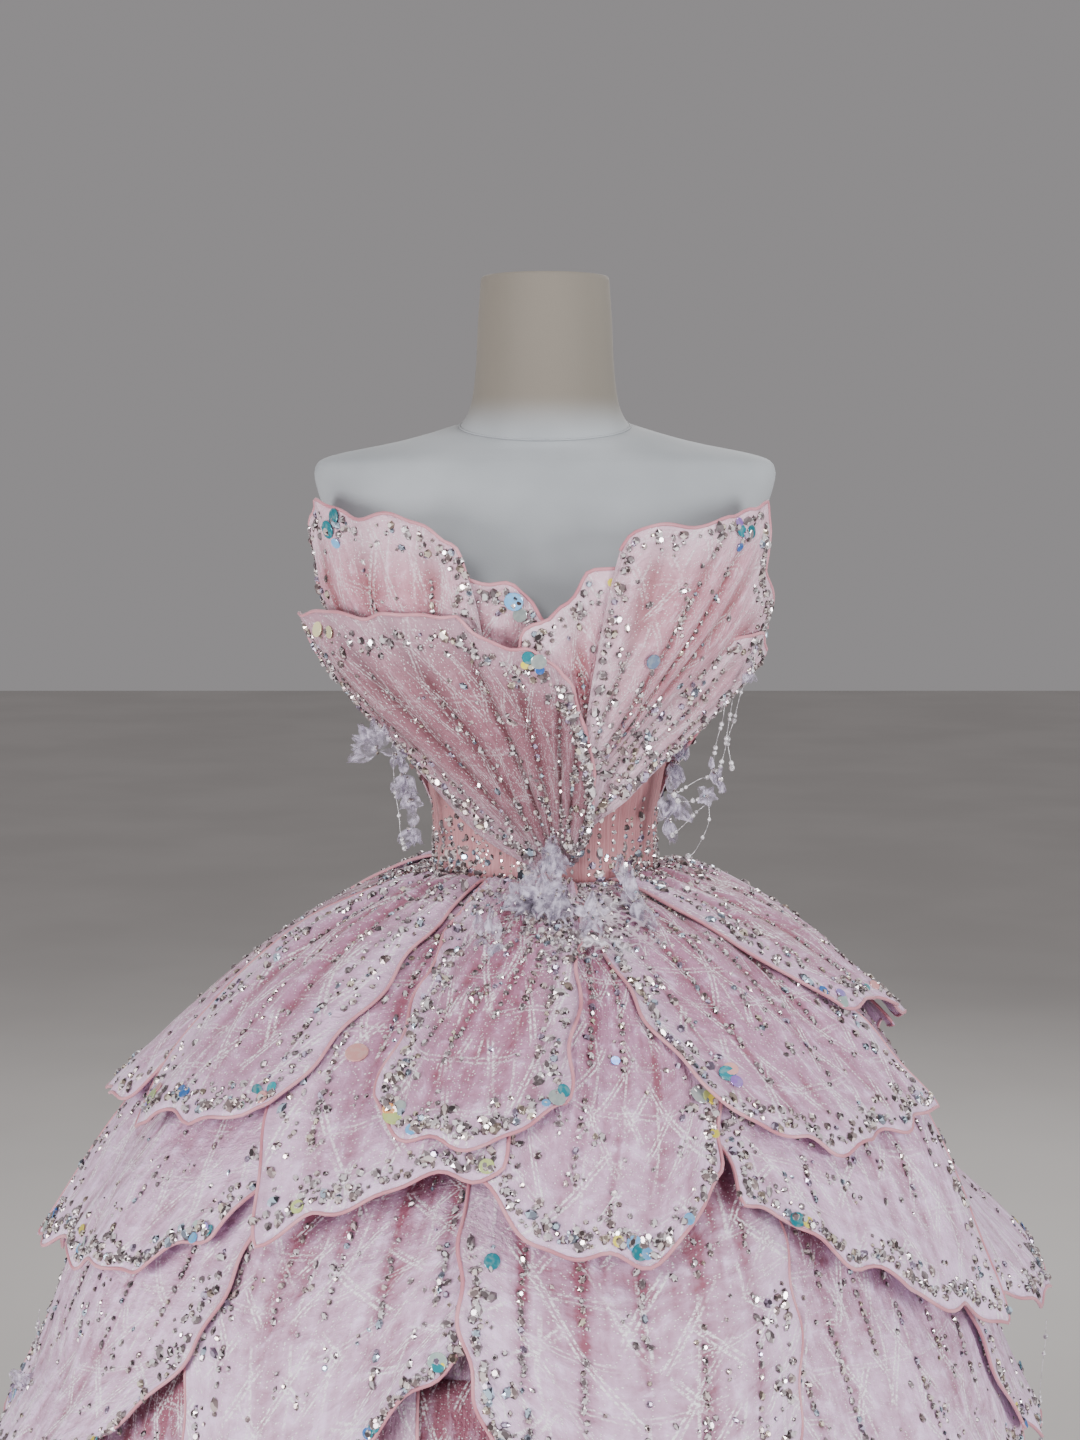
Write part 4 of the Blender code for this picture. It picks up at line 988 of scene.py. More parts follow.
class BodicePetal(Cloth):
    """A bodice petal: a fan of straight lines in azimuth and height from its root to its rim.
    Pleats radiate from the root with sharp valleys, small ones between them, and the rim
    wanders and ruffles."""

    edge_start = 0.004

    def __init__(self, row, number):
        vars(self).update(BODICE_USUAL, **row)
        self.number, self.phase = 40 + number, 1.7 * number + 0.6
        self.root_line = curve_through(BODICE_REACH.get(self.name, self.root), 241)
        self.rim_line = curve_through(self.rim, 241)
        root, rim = (bodice_point(line[:, 0], line[:, 1], 0.0, self.tucked)
                     for line in (self.root_line, self.rim_line))
        self.width, self.root_width = (
            float(np.linalg.norm(np.diff(line, axis=0), axis=1).sum()) for line in (rim, root))
        self.length = float(np.linalg.norm(rim - root, axis=1).mean())

    def ridge(self, u, v):
        """1 on a pleat's ridge, 0 in its valley: |sin|^0.75."""
        return np.abs(np.sin(math.pi * self.folds * (u + 1) / 2)) ** 0.75

    def valley_line(self, number, v):
        return 2.0 * number / self.folds - 1 + 0.0 * v

    def fold_strength(self, v):
        return np.sin(math.pi * (0.08 + 0.80 * np.clip(v, 0, 1)))

    # Painted shade: darker in the pleats' valleys and towards the root.
    def valley(self, u, v):
        return ((1 - self.ridge(u, v)) ** 1.2 * np.clip(self.fold_strength(v) + 0.15, 0, 1)
                + 0.22 * (1 - np.clip(v, 0, 1)))

    def place(self, u, v, lift=0.0):
        share, out = (u + 1) / 2, np.asarray(v)[..., None]
        station = np.linspace(0, 1, 241)
        root, rim = (line_at(share, station, line) for line in (self.root_line, self.rim_line))
        spot = root * (1 - out) + rim * out
        spot = spot + 4 * out * (1 - out) * (
            np.asarray(self.bow_left) * ((1 - share) ** 2)[..., None]
            + np.asarray(self.bow_right) * (share ** 2)[..., None])
        turn = math.pi * self.width / SCALLOP_LENGTH * 1.15 * u + self.phase
        wander = 0.62 * np.sin(turn) + 0.38 * np.sin(1.9 * turn + 0.7)
        metres = np.asarray([0.0026, 1.0])      # of a degree and of a height of 1 m
        outward = unit((rim - root) * metres + 1e-9) / metres
        spot = spot + RIM_SCALLOP * outward * (wander * np.clip(v, 0, 2) ** 6)[..., None]
        edge_fade = (smoothstep(0.0, self.fades[0], share)
                     * smoothstep(0.0, self.fades[1], 1 - share))
        small = np.abs(np.sin(math.pi * self.folds * 1.5 * (u + 1) + 0.8 + 0.9 * v)) ** 0.8
        flare_place, flare_height = self.flare
        flare = np.exp(-((share - flare_place) / FLARE_WIDTH) ** 2)
        height = (BODICE_ROOT_HEIGHT + self.layer * BODICE_LAYER_STEP
                  + self.depth * self.ridge(u, v) * self.fold_strength(v) * edge_fade
                  + 0.0008 * small * self.fold_strength(v)
                  + flare_height * np.clip(v, 0, 1) ** 3 * flare
                  + RIM_RUFFLE * (0.5 + 0.5 * np.sin(1.4 * turn)) * smoothstep(0.72, 1.0, v) ** 2
                  + 0.0006 * self.creases(u, v))
        if self.name in BODICE_REACH:
            seat = 1 - smoothstep(0.0, 0.30, v)[..., None]
            height = height - 0.0046 * (1 - smoothstep(0.0, 0.42, share)) * (self.layer == 3)
        else:
            seat = (1 - smoothstep(0.0, SEATED_SHARE, v)[..., None]) * self.seated
        azimuth, above = spot[..., 0], spot[..., 1]
        free = bodice_point(azimuth, above, height + lift, self.tucked)
        close = corset_point(azimuth, above, CORSET_EASE + CLOTH_WALL + SEATED_GAP + lift)
        return close * seat + free * (1 - seat)

    def grid(self):
        step = 0.0080 if "back" in self.name else FINE_STEP
        return (int(np.clip(self.length / step, 20, 46)),
                int(np.clip(self.width * 0.75 / step, 36, 116)))


def petal_grid(petal):
    """u and v of the petal's points, closer together towards the free edges."""
    rows, columns = petal.grid()
    down = np.linspace(0, 1, rows + 1)
    across = np.linspace(-1, 1, columns + 1)
    across = across + 0.06 * np.sin(math.pi * across)
    v, u = np.meshgrid(down + 0.05 * np.sin(math.pi * down) * down, across, indexing="ij")
    return u, v


def dress_petal(petal, finish):
    """The petal's shell in place of its node."""
    u, v = petal_grid(petal)
    add_cloth(petal.name, petal.place(u, v), petal.place(u, v, SHELL), petal.cloth_map(u, v),
              petal.traits(u, v), finish)


def edge_line(start):
    """u and v along the free edge: down the left side from start, along the hem, up the right;
    only along the hem where start is 1."""
    u, v = np.linspace(-1, 1, 220), np.ones(220)
    if start < 1:
        u = np.concatenate([np.full(60, -1.0), u[1:-1], np.full(60, 1.0)])
        v = np.concatenate([np.linspace(start, 1, 60), v[1:-1], np.linspace(1, start, 60)])
    return u, v


def piping_arrays(petal, start=0.02):
    """A rolled tube that follows the free edge, a little proud of the cloth."""
    u, v = edge_line(start)
    lines = [soften(petal.place(u, v, SHELL / 2 + lift), 3) for lift in (0.0, 0.002)]
    length = path_lengths(lines[0])
    stations = np.linspace(0, length[-1], max(int(length[-1] / PIPING_STEP), 12))
    path, above = (line_at(stations, length, line) for line in lines)
    return tube_arrays(path, PIPING_RADIUS, 5, above - path)


# ==== crystals
def gem_template(sides, table, rise):
    """A cut stone of radius 1: a flat back, a girdle, and a smaller table turned half a side."""
    turn = 2 * math.pi * np.arange(sides) / sides
    girdle = np.stack([np.cos(turn), np.sin(turn), np.zeros(sides)], axis=1)
    turn = turn + math.pi / sides
    top = np.stack([table * np.cos(turn), table * np.sin(turn), np.full(sides, rise)], axis=1)
    k = np.arange(sides)
    after = (k + 1) % sides
    facets = [np.stack([k, after, sides + k], axis=1),
              np.stack([after, sides + after, sides + k], axis=1)]
    return (np.concatenate([girdle, top]),
            [np.concatenate(facets), np.stack([k[::-1], sides + k])])


GEM = gem_template(6, 0.52, 0.62)
SMALL_GEM = gem_template(4, 0.50, 0.62)
GEMS = (GEM, SMALL_GEM)
SMALL_STONE = 0.0022        # below this half size a stone has four sides
LARGE_STONE, MIDDLING_STONE = (0.0030, 0.0044), (0.0018, 0.0027)    # ranges of half sizes
EDGE_ROOM, BAND_ROOM = 0.0068, 0.0062       # squares of cloth for one stone each
EDGE_NEAREST, WRAP_NEAREST = 0.0068, 0.0125     # from the free edge to its nearest stones
BAND_STONE = 0.0046         # from stone to stone in a thick band
DISC_INSET, DISC_SIZE = 0.014, 0.0056
DISC = gem_template(12, 0.93, 0.07)


class Setting:
    """Places for stones on surfaces: centre, three axes, half sizes and a colour each."""

    def __init__(self):
        self.parts = []

    def add(self, petal, u, v, size, stretch, seed, proud=0.0002, room=0.0, loose=0.9):
        """Stones at u, v of a petal, lying on its outer face; the normal is the cross product
        of the surface's steps across and down, and each stone is spun at random. Only the first
        stone in each square of the cloth of side room stays."""
        dice = np.random.default_rng(seed)
        u, v = np.broadcast_arrays(np.asarray(u, float), np.asarray(v, float))
        keep = (np.abs(u) <= 1.0) & (v >= 0.0) & (v <= 1.0)
        if room:
            flat = np.stack([u * petal.half_width(v), v * petal.length], axis=-1)
            first = np.unique(np.round(flat / room), axis=0, return_index=True)[1]
            keep = keep & np.isin(np.arange(len(u)), first)
        u, v, size, stretch = (np.broadcast_to(column, keep.shape)[keep]
                               for column in (u, v, size, stretch))
        if not len(u):
            return
        centre = petal.place(u, v, SHELL + proud)
        over = petal.place(u, v, SHELL + proud + 0.002) - centre
        step_u, step_v = 0.003 / petal.width, 0.003 / petal.length
        across = petal.place(u + step_u, v, SHELL) - petal.place(u - step_u, v, SHELL)
        down = petal.place(u, v + step_v, SHELL) - petal.place(u, v - step_v, SHELL)
        normal = unit(np.cross(across, down))
        normal = normal * np.sign(np.sum(normal * over, axis=1, keepdims=True))
        normal = unit(normal + 0.5 * unit(over) + 0.22 * dice.normal(size=normal.shape))
        self.add_frames(centre, normal, down, size, stretch, dice, loose)

    def add_frames(self, centre, normal, towards, size, stretch, dice, loose=0.9):
        first = unit(towards - np.sum(towards * normal, axis=1, keepdims=True) * normal)
        second = np.cross(normal, first)
        spin = dice.normal(0, loose, len(centre))[:, None]
        long_axis = np.cos(spin) * first + np.sin(spin) * second
        short_axis = np.cross(normal, long_axis)
        size = np.broadcast_to(size, (len(centre),))
        self.parts.append((centre, long_axis, short_axis, normal, size * stretch, size))

    def add_piece(self, name, seed, finish, slot, palette, large, small=None):
        """All the stones as one piece: each template point moved along its stone's axes."""
        columns = [np.concatenate(column) for column in zip(*self.parts)]
        is_small = (columns[5] < SMALL_STONE) & (small is not None)
        dice = np.random.default_rng(seed)
        parts, colours = [], {}
        for template, chosen in ((large, ~is_small), (small, is_small)):
            if not chosen.any():
                continue
            centre, long_axis, short_axis, normal, long_size, size = (
                column[chosen] for column in columns)
            points, faces = template
            place = centre[:, None]
            for k, (axis, length) in enumerate(((long_axis, long_size), (short_axis, size),
                                                (normal, size))):
                place = place + points[None, :, k, None] * (axis * length[:, None])[:, None]
            start = (np.arange(len(centre)) * len(points))[:, None, None]
            parts.append((place.reshape(-1, 3), [(block[None] + start).reshape(-1, block.shape[1])
                                                 for block in faces]))
            made = palette(len(centre), [len(block) for block in faces], dice)
            for block, shades in zip(faces, made):
                colours.setdefault(block.shape[1], []).append(shades)
        points, faces = join_arrays(parts)
        shades = np.concatenate([np.concatenate(colours[block.shape[1]]) for block in faces])
        add_piece(build_mesh(name, points, faces, face_colours=shades, smooth=False), finish)

    def add_crystals(self, name, seed, slot, templates):
        self.add_piece(name, seed, "crystal", slot, silver_palette, *templates)

    def add_discs(self, name, seed, slot, palette):
        self.add_piece(name, seed, "disc", slot, palette, DISC)


def silver_palette(count, blocks, dice):
    """Each facet is painted dark, middling or bright as painted reflections and glints, the ones
    next to the rim more often dark and the darker ones pinker; a few stones have a pale rainbow tint."""
    tints = np.asarray([(0.93, 0.90, 0.91)] * 10 + [(0.94, 0.84, 0.80)] * 6
                       + [(0.62, 0.82, 0.98), (0.80, 0.72, 0.98), (0.96, 0.88, 0.70)])
    tint = tints[dice.integers(0, len(tints), count)]
    colours = []
    for faces in blocks:
        kind = dice.random((count, faces))
        dark = np.where(np.arange(faces) < faces / 2, 0.46, 0.12)
        shine = np.where(kind < dark, dice.uniform(0.04, 0.14, kind.shape),
                         np.where(kind < dark + 0.42, dice.uniform(0.14, 0.38, kind.shape),
                                  dice.uniform(0.66, 1.0, kind.shape)))
        shade = tint[:, None] * shine[..., None]
        warm = np.asarray([1.12, 0.90, 0.96]) ** (1 - shine[..., None])
        colours.append(np.clip(shade * warm, 0, 1).reshape(-1, 3))
    return colours


def shaded(tints, blocks, dice, spread):
    """A tint for each stone, on each of its facets made darker or lighter by up to a spread as painted
    reflections.
    """
    return [np.clip(tints[:, None] * dice.uniform(1 - spread, 1 + spread, (len(tints), faces, 1)),
                    0, 1).reshape(-1, 3) for faces in blocks]


def rainbow_palette(count, blocks, dice):
    """Each disc is one pale rainbow colour with a slightly different rim."""
    tints = np.asarray([(0.010, 0.20, 0.25), (0.015, 0.27, 0.32), (0.03, 0.16, 0.50),
                        (0.16, 0.46, 0.80), (0.30, 0.22, 0.58), (0.75, 0.62, 0.06),
                        (0.40, 0.52, 0.20), (0.34, 0.44, 0.42), (0.70, 0.32, 0.32)])
    return shaded(tints[dice.integers(0, len(tints), count)], blocks, dice, 0.25)


def stone_sizes(dice, count, large):
    """Half sizes and stretches: a share of large round or drop stones among small ones."""
    size = np.where(dice.random(count) < large, dice.uniform(*LARGE_STONE, count),
                    dice.uniform(*MIDDLING_STONE, count))
    return size, np.where(dice.random(count) < 0.4, dice.uniform(1.2, 1.75, count), 1.0)


def edge_stones(setting, petal, seed, start, spacing, deepest, crowd, nearest=EDGE_NEAREST):
    """Stones inside the free edge: their inset follows a decaying spread from nearest, and they
    gather in clumps along the edge, a random walk of sines."""
    dice = np.random.default_rng(seed)
    side_length = petal.length * (1 - start)
    lengths = np.array([side_length, petal.width * 1.3, side_length])
    count = int(lengths.sum() / spacing * crowd)
    section = dice.choice(3, count, p=lengths / lengths.sum())
    along = dice.random(count)
    s = along * lengths[section] + np.concatenate([[0], np.cumsum(lengths)[:-1]])[section]
    clump = (0.5 + 0.30 * np.sin(s * 210 + seed) + 0.30 * np.sin(s * 95 + 2.0 * seed)
             + 0.25 * np.sin(s * 430 + 0.7 * seed))
    inset = nearest + dice.exponential(0.0072, count)
    keep = (dice.random(count) < np.clip(clump, 0.12, 1.0)) & (inset < deepest)
    section, along, inset = section[keep], along[keep], inset[keep]
    down = np.where(section == 1, 1 - inset / petal.length,
                    start + (1 - start) * along * (1 - inset / petal.length))
    side = 1 - inset / petal.half_width(down)
    u = np.where(section == 1, (2 * along - 1) * side, (section - 1) * np.clip(side, 0, 1))
    size, stretch = stone_sizes(dice, len(u), 0.5)
    setting.add(petal, u, down, size, stretch, seed + 1, room=EDGE_ROOM)


def dense_band(setting, petal, seed, side, first, last, outer):
    """A thick band of stones along the left side, the rim or the right side, from share first
    to share last of it, between two insets."""
    dice = np.random.default_rng(seed)
    inner = max(0.0064, 0.42 * outer)
    run = (petal.width if side == "rim" else petal.length) * abs(last - first)
    count = int(run * (outer - inner) / BAND_STONE ** 2 * 3.5)
    along, inset = dice.uniform(first, last, count), dice.uniform(inner, outer, count)
    if side == "rim":
        u, v = 2 * along - 1, 1 - inset / petal.length
    else:
        v = along
        u = (1 - inset / petal.half_width(v)) * (1 if side == "right" else -1)
    size, stretch = stone_sizes(dice, count, 0.5)
    setting.add(petal, u, v, size, stretch, seed + 1, room=BAND_ROOM)


def valley_stones(setting, petal, seed, reach, spacing, first, large=0.0031):
    """Chains of small stones along the folds' valleys, each of its own length, with gaps."""
    dice = np.random.default_rng(seed)
    for number in range(-6 * petal.fanned + 1, petal.folds):
        end = reach * dice.uniform(0.6, 1.0)
        steps = int(petal.length * (end - first) / spacing)
        if steps < 2:
            continue
        v = np.linspace(first, end, steps) + dice.normal(0, 0.0010, steps) / petal.length
        gap = np.sin(v * 17.0 + dice.uniform(0, 6.28)) > -0.85
        keep = gap & (dice.random(steps) < 0.94)
        v = v[keep]
        u = petal.valley_line(number, v) + dice.normal(0, 0.0012, len(v)) / petal.width
        size = dice.uniform(large * 0.68, large, len(v))
        stretch = np.where(dice.random(len(v)) < 0.6, 1.45, 1.0)
        setting.add(petal, u, v, size, stretch, seed + 31 * number, proud=0.0009, loose=0.45)


def scattered_stones(setting, petal, seed, per_square_metre):
    """Single stones and small clusters, spread evenly at random."""
    dice = np.random.default_rng(seed)
    count = max(int(petal.width * petal.length * per_square_metre), 4)
    u, v = dice.uniform(-0.9, 0.9, count), dice.uniform(0.12, 0.92, count)
    cluster = dice.random(count) < 0.25
    u = np.concatenate([u, u[cluster] + 0.0055 / petal.width * 2, u[cluster]])
    v = np.concatenate([v, v[cluster], v[cluster] + 0.0055 / petal.length])
    size = dice.uniform(0.0015, 0.0030, len(u))
    stretch = np.where(dice.random(len(u)) < 0.5, 1.5, 1.0)
    setting.add(petal, u, v, size, stretch, seed + 5)


FEATURE_TINTS = {
    "teal": (0.008, 0.19, 0.24), "sky": (0.14, 0.42, 0.76), "blue": (0.03, 0.13, 0.46),
    "slate": (0.11, 0.16, 0.26), "violet": (0.28, 0.14, 0.50), "yellow": (0.78, 0.66, 0.05),
    "lime": (0.46, 0.54, 0.18), "cream": (0.80, 0.74, 0.40), "clear": (0.33, 0.38, 0.38),
    "orange": (0.85, 0.36, 0.12), "rose": (0.74, 0.36, 0.34),
}
# Discs in their own places: petal, then the u, v, radius and colour of each
FEATURE_DISCS = (
    ("bodice_left_outer", (
        (0.05, 0.965, 0.007, "teal"), (-0.02, 0.9, 0.008, "teal"), (0.03, 0.85, 0.005, "sky"),)),
    ("bodice_right_outer", (
        (-0.14, 0.93, 0.0055, "teal"), (0.02, 0.912, 0.006, "teal"), (-0.22, 0.97, 0.004, "violet"),
        (-0.05, 0.87, 0.004, "blue"), (-0.45, 0.529, 0.0065, "slate"),)),
    ("bodice_left_wrap", (
        (0.22, 0.97, 0.0065, "clear"), (0.18, 0.965, 0.0055, "teal"), (0.22, 0.937, 0.004, "blue"),
        (0.16, 0.935, 0.0035, "yellow"), (-0.62, 0.945, 0.007, "cream"),
        (-0.58, 0.93, 0.0055, "cream"),)),
    ("bodice_left_inner", ((0.11, 0.92, 0.008, "sky"), (0.23, 0.87, 0.006, "clear"),)),
    ("bodice_right_inner", ((0.72, 0.945, 0.0035, "yellow"),)),
    ("petal_1_front", (
        (0.93, 0.955, 0.0055, "teal"), (0.88, 0.975, 0.007, "clear"), (0.78, 0.97, 0.0035, "sky"),
        (-0.47, 0.97, 0.0048, "sky"), (-0.7, 0.965, 0.0085, "lime"), (-0.76, 0.97, 0.005, "orange"),
        (-0.66, 0.93, 0.005, "clear"),)),
    ("petal_1_side_right", (
        (-0.67, 0.816, 0.007, "teal"), (-0.65, 0.838, 0.0055, "violet"),
        (-0.61, 0.79, 0.0062, "rose"),)),
    ("petal_1_front_right", (
        (0.76, 0.733, 0.008, "clear"), (0.89, 0.783, 0.0045, "yellow"), (0.84, 0.76, 0.005, "lime"),
        (0.62, 0.975, 0.0045, "sky"), (0.09, 0.975, 0.0045, "yellow"), (0.2, 0.965, 0.006, "sky"),
        (0.25, 0.975, 0.0065, "teal"), (0.3, 0.975, 0.0045, "sky"), (0.94, 0.885, 0.004, "yellow"),
        (-0.09, 0.583, 0.0038, "blue"),)),
    ("petal_3_front", ((-0.8, 0.33, 0.0062, "teal"),)),
    ("petal_1_front_left", ((0.86, 0.97, 0.006, "lime"),)),
    ("petal_2_side_right", ((-0.66, 0.975, 0.006, "teal"), (-0.6, 0.97, 0.0045, "yellow"),)),
    ("petal_1_front_left", ((-0.7, 0.975, 0.0055, "lime"), (-0.47, 0.629, 0.0095, "rose"),)),
)


def add_feature_discs(name, seed, slot, petals):
    """The listed discs of these petals as one piece, in their own colours."""
    setting, tints, number = Setting(), [], 2600
    by_name = {petal.name: petal for petal in petals}
    for owner, spots in FEATURE_DISCS:
        for u, v, radius, tint in spots:
            if owner in by_name:
                setting.add(by_name[owner], [u], [v], radius, 1.0, number, proud=0.0014)
                tints.append(FEATURE_TINTS[tint])
            number += 1
    setting.add_discs(name, seed, slot,
                      lambda count, blocks, dice: shaded(np.asarray(tints), blocks, dice, 0.2))


def corner_discs(setting, petal, seed, count):
    """Shimmering discs in the petal's two lower corners and one place on its hem; one in ten
    is a big one."""
    dice = np.random.default_rng(seed)
    side = 1 - 2 * DISC_INSET / petal.width
    middle = dice.uniform(-0.5, 0.5)
    u = np.concatenate([np.full(count, -side), np.full(count, side), np.full(3, middle)])
    v = np.full(len(u), 1 - DISC_INSET / petal.length)
    u = u + dice.normal(0, 0.0065, len(u)) / petal.width * 2
    v = v + dice.normal(0, 0.0055, len(u)) / petal.length
    size = np.where(dice.random(len(u)) < 0.1, dice.uniform(1.15, 1.4, len(u)),
                    dice.uniform(0.5, 1.0, len(u))) * DISC_SIZE
    setting.add(petal, np.clip(u, -0.97, 0.97), np.clip(v, 0, 0.985), size, 1.0, seed + 9,
                proud=0.0012)


# ==== corset and underskirt
class CorsetPanel(Cloth):
    """A corset panel: u round it, v from 0 at the top to 1 at the waist."""

    def __init__(self, name, start, end, number):
        seam = math.degrees(SEAM_GAP / 2 / float(torso_value("half_depth", WAIST_Z)))
        self.name, self.number = name, 60 + number
        self.start, self.end = start + seam, end - seam
        self.width = self.root_width = math.radians(end - start) * 0.105
        self.length = 0.205

    def place(self, u, v, lift=0.0):
        azimuth = self.start + (self.end - self.start) * (np.asarray(u) + 1) / 2
        top = np.interp(np.abs(azimuth), *np.transpose(CORSET_TOP))
        above = top + (CORSET_FOOT - top) * np.asarray(v)
        fine = 0.5 + 0.5 * np.sin(np.radians(azimuth) * 105 / (0.6 + above) + 9 * above)
        fine = fine * smoothstep(0.0, 0.012, above) * np.where(np.abs(azimuth) > 24, 1.0, 0.4)
        return corset_point(azimuth, above, CORSET_EASE + lift + 0.0005 * fine * (lift > 0))


def even_grid(rows, columns):
    """u from -1 to 1 along the rows and v from 0 to 1 down the columns of a grid."""
    v, u = np.meshgrid(np.linspace(0, 1, rows), np.linspace(-1, 1, columns), indexing="ij")
    return u, v


def dress_corset():
    panels = [CorsetPanel(*row, number) for number, row in enumerate(CORSET_PANELS)]
    for panel in panels:
        u, v = even_grid(31, int((panel.end - panel.start) / 1.6))
        add_cloth(panel.name, panel.place(u, v), panel.place(u, v, CLOTH_WALL),
                  panel.cloth_map(u, v), np.zeros(u.shape + (3,)), "corset")
    return panels


class SkirtHalf(Cloth):
    """Half of the underskirt: u round it, v from the waist to the floor, with flares |cos|^0.8
    that grow to the hem."""

    def __init__(self, name, start, number):
        self.name, self.start, self.number, self.folds = name, start, number, 24
        self.length, self.width, self.root_width = PROFILE_LENGTH[-1], math.pi * 0.565, 0.31

    def flare(self, azimuth):
        return np.abs(np.cos(math.pi * self.folds * (azimuth - self.start) / 180)) ** 0.8

    def place(self, u, v, lift=0.0):
        length, share = self.length * np.asarray(v), (np.asarray(u) + 1) / 2
        seam = np.degrees(SEAM_GAP / 2 / skirt_radius(length))
        azimuth = self.start + seam + (180.0 - 2 * seam) * share
        flare = 0.006 * self.flare(azimuth) * smoothstep(0.55, 1.0, v)
        ends = np.clip(np.sin(math.pi * share), 0, 1) ** 0.3
        return skirt_point(azimuth, length, flare * ends + lift)


def dress_underskirt():
    """The underskirt's halves on the solid's form, with a rolled and beaded hem."""
    stones = Setting()
    u, v = even_grid(27, 121)
    for number, (side, start, rests_on) in enumerate((("front", -90.0, "corset_front"),
                                                      ("back", 90.0, "corset_back_left"))):
        half = SkirtHalf("underskirt_" + side, start, 80 + number)
        # Painted shade: the underskirt mostly in the lining_and_shade colour as it lies under the
        # petals, darkest in the flares' troughs.
        outer, valley = half.place(u, v), 0.9 - 0.7 * half.flare(start + 90.0 * (u + 1))
        traits = np.stack([valley, 1 + 0 * u, half.number + 0 * u], axis=-1)
        add_cloth(half.name, half.place(u, v, -UNDERSKIRT_SHELL), outer, half.cloth_map(u, v), traits,
                  "skirt")
        dense_band(stones, half, 1900 + number, "rim", 0.0, 1.0, 0.014)
        add_arrays("rolled_hem_" + side, tube_arrays(even_path(outer[-1], 0.012), 0.0022, 6),
                   "piping")
    stones.add_crystals("crystals_underskirt", 65, "underskirt", [SMALL_GEM])


# ==== waist flowers and trims
def flower_arrays(centre, normal, radius, seed, angles, wide, cup):
    """An organza flower: each petal is a grid, out r from 0 to 1 and across s from -1 to 1,
    its half width wide * sin(0.95 pi r^0.9) and its height cup * r^2 with a crumpled rim.
    angles are the petals' turns in degrees; 0 points right and -90 down."""
    dice = np.random.default_rng(seed)
    normal = unit(np.asarray(normal, float))
    first = unit(np.cross([0.0, 0.0, 1.0], normal))
    second = np.cross(normal, first)
    r, s = np.meshgrid(np.linspace(0.03, 1, 7), np.linspace(-1, 1, 7), indexing="ij")
    half = wide * np.sin(math.pi * np.clip(r ** 0.9 * 0.95, 0, 1)) + 0.03
    parts = []
    for number, angle in enumerate(angles):
        turn = math.radians(angle + dice.uniform(-9, 9))
        size = radius * dice.uniform(0.82, 1.15)
        x = r * (1 - 0.10 * s ** 2 + 0.07 * r * np.sin(6 * s + 3 * number))
        y = s * half + 0.05 * r * np.sin(7 * r + 2 * number)
        z = (cup * r ** 2 + 0.18 * s ** 2 * r + 0.16 * r * np.sin(5 * s + 4 * r + 7 * number)
             + dice.uniform(-0.10, 0.16) * r)
        along = math.cos(turn) * first + math.sin(turn) * second
        beside = np.cross(normal, along)
        top = (np.asarray(centre) + size * (x[..., None] * along + y[..., None] * beside
                                            + z[..., None] * normal))
        parts.append(shell_arrays(top - 0.0004 * normal, top))
    return parts


def bead_arrays(centre, radius, sides, rings):
    """A round bead: rings of places on a sphere between its two poles."""
    polar = np.pi * (np.arange(rings) + 1) / (rings + 1)
    turn = 2 * math.pi * np.arange(sides) / sides
    ball = np.stack([np.outer(np.sin(polar), np.cos(turn)), np.outer(np.sin(polar), np.sin(turn)),
                     np.outer(np.cos(polar), np.ones(sides))], axis=-1).reshape(-1, 3)
    ends = np.array([[0, 0, 1.0], [0, 0, -1.0]])
    points = np.asarray(centre) + radius * np.concatenate([ball, ends])
    k = np.arange(sides)
    after, top, last = (k + 1) % sides, rings * sides, (rings - 1) * sides
    caps = np.concatenate([np.stack([k, after, np.full(sides, top)], axis=1),
                           np.stack([last + after, last + k, np.full(sides, top + 1)], axis=1)])
    return points, [grid_quads(rings, sides, 0, True)[:, ::-1], caps]


# azimuth, distance from the waist, height over the cloth, radius, kind
WAIST_FLOWERS = (
    (1.5, -0.01, 0.022, 0.02, "drape"),
    (3.0, 0.004, 0.019, 0.015, "fan"),
    (-6.5, 0.058, 0.013, 0.017, "fan"),
    (-4.0, 0.05, 0.015, 0.026, "drape"),
    (-1.0, 0.062, 0.015, 0.02, "star"),
    (2.5, 0.044, 0.018, 0.024, "drape"),
    (3.0, 0.06, 0.018, 0.03, "strip"),
    (10.5, 0.082, 0.014, 0.018, "star"),
    (27.5, 0.04, 0.009, 0.028, "strip"),
    (26.0, 0.062, 0.009, 0.026, "strip"),
    (-10.5, 0.104, 0.007, 0.028, "strip"),
    (-14.5, 0.1, 0.007, 0.018, "strip"),
    (-11.5, 0.052, 0.006, 0.011, "star"),
)
# centre (x, y, z), the way it faces, radius, kind
SIDE_FLOWERS = (
    ((-0.142, -0.06, 1.164), (-0.45, -0.85, 0.3), 0.023, "bell"),
    ((-0.127, -0.058, 1.16), (0.1, -0.95, 0.1), 0.015, "star"),
    ((-0.12, -0.058, 1.142), (-0.1, -0.95, 0.1), 0.019, "drape"),
    ((-0.115, -0.056, 1.12), (-0.15, -0.95, 0.0), 0.012, "fan"),
    ((-0.113, -0.054, 1.096), (-0.2, -0.95, 0.1), 0.018, "drape"),
    ((0.111, -0.06, 1.18), (0.3, -0.9, 0.1), 0.026, "strip"),
    ((0.108, -0.058, 1.154), (0.3, -0.9, 0.1), 0.024, "strip"),
    ((0.106, -0.058, 1.126), (0.3, -0.9, 0.1), 0.026, "drape"),
    ((0.104, -0.057, 1.104), (0.3, -0.9, 0.15), 0.02, "strip"),
    ((0.17, -0.072, 1.231), (0.3, -0.9, 0.1), 0.011, "drape"),
    ((0.141, -0.074, 1.148), (0.2, -0.95, 0.0), 0.013, "strip"),
    ((0.147, -0.074, 1.14), (0.6, -0.8, 0.0), 0.01, "strip"),
    ((0.1366, -0.074, 1.126), (0.2, -0.95, 0.0), 0.011, "fan"),
    ((-0.4415, -0.11, 0.625), (-0.5, -0.85, 0.1), 0.016, "fan"),
)
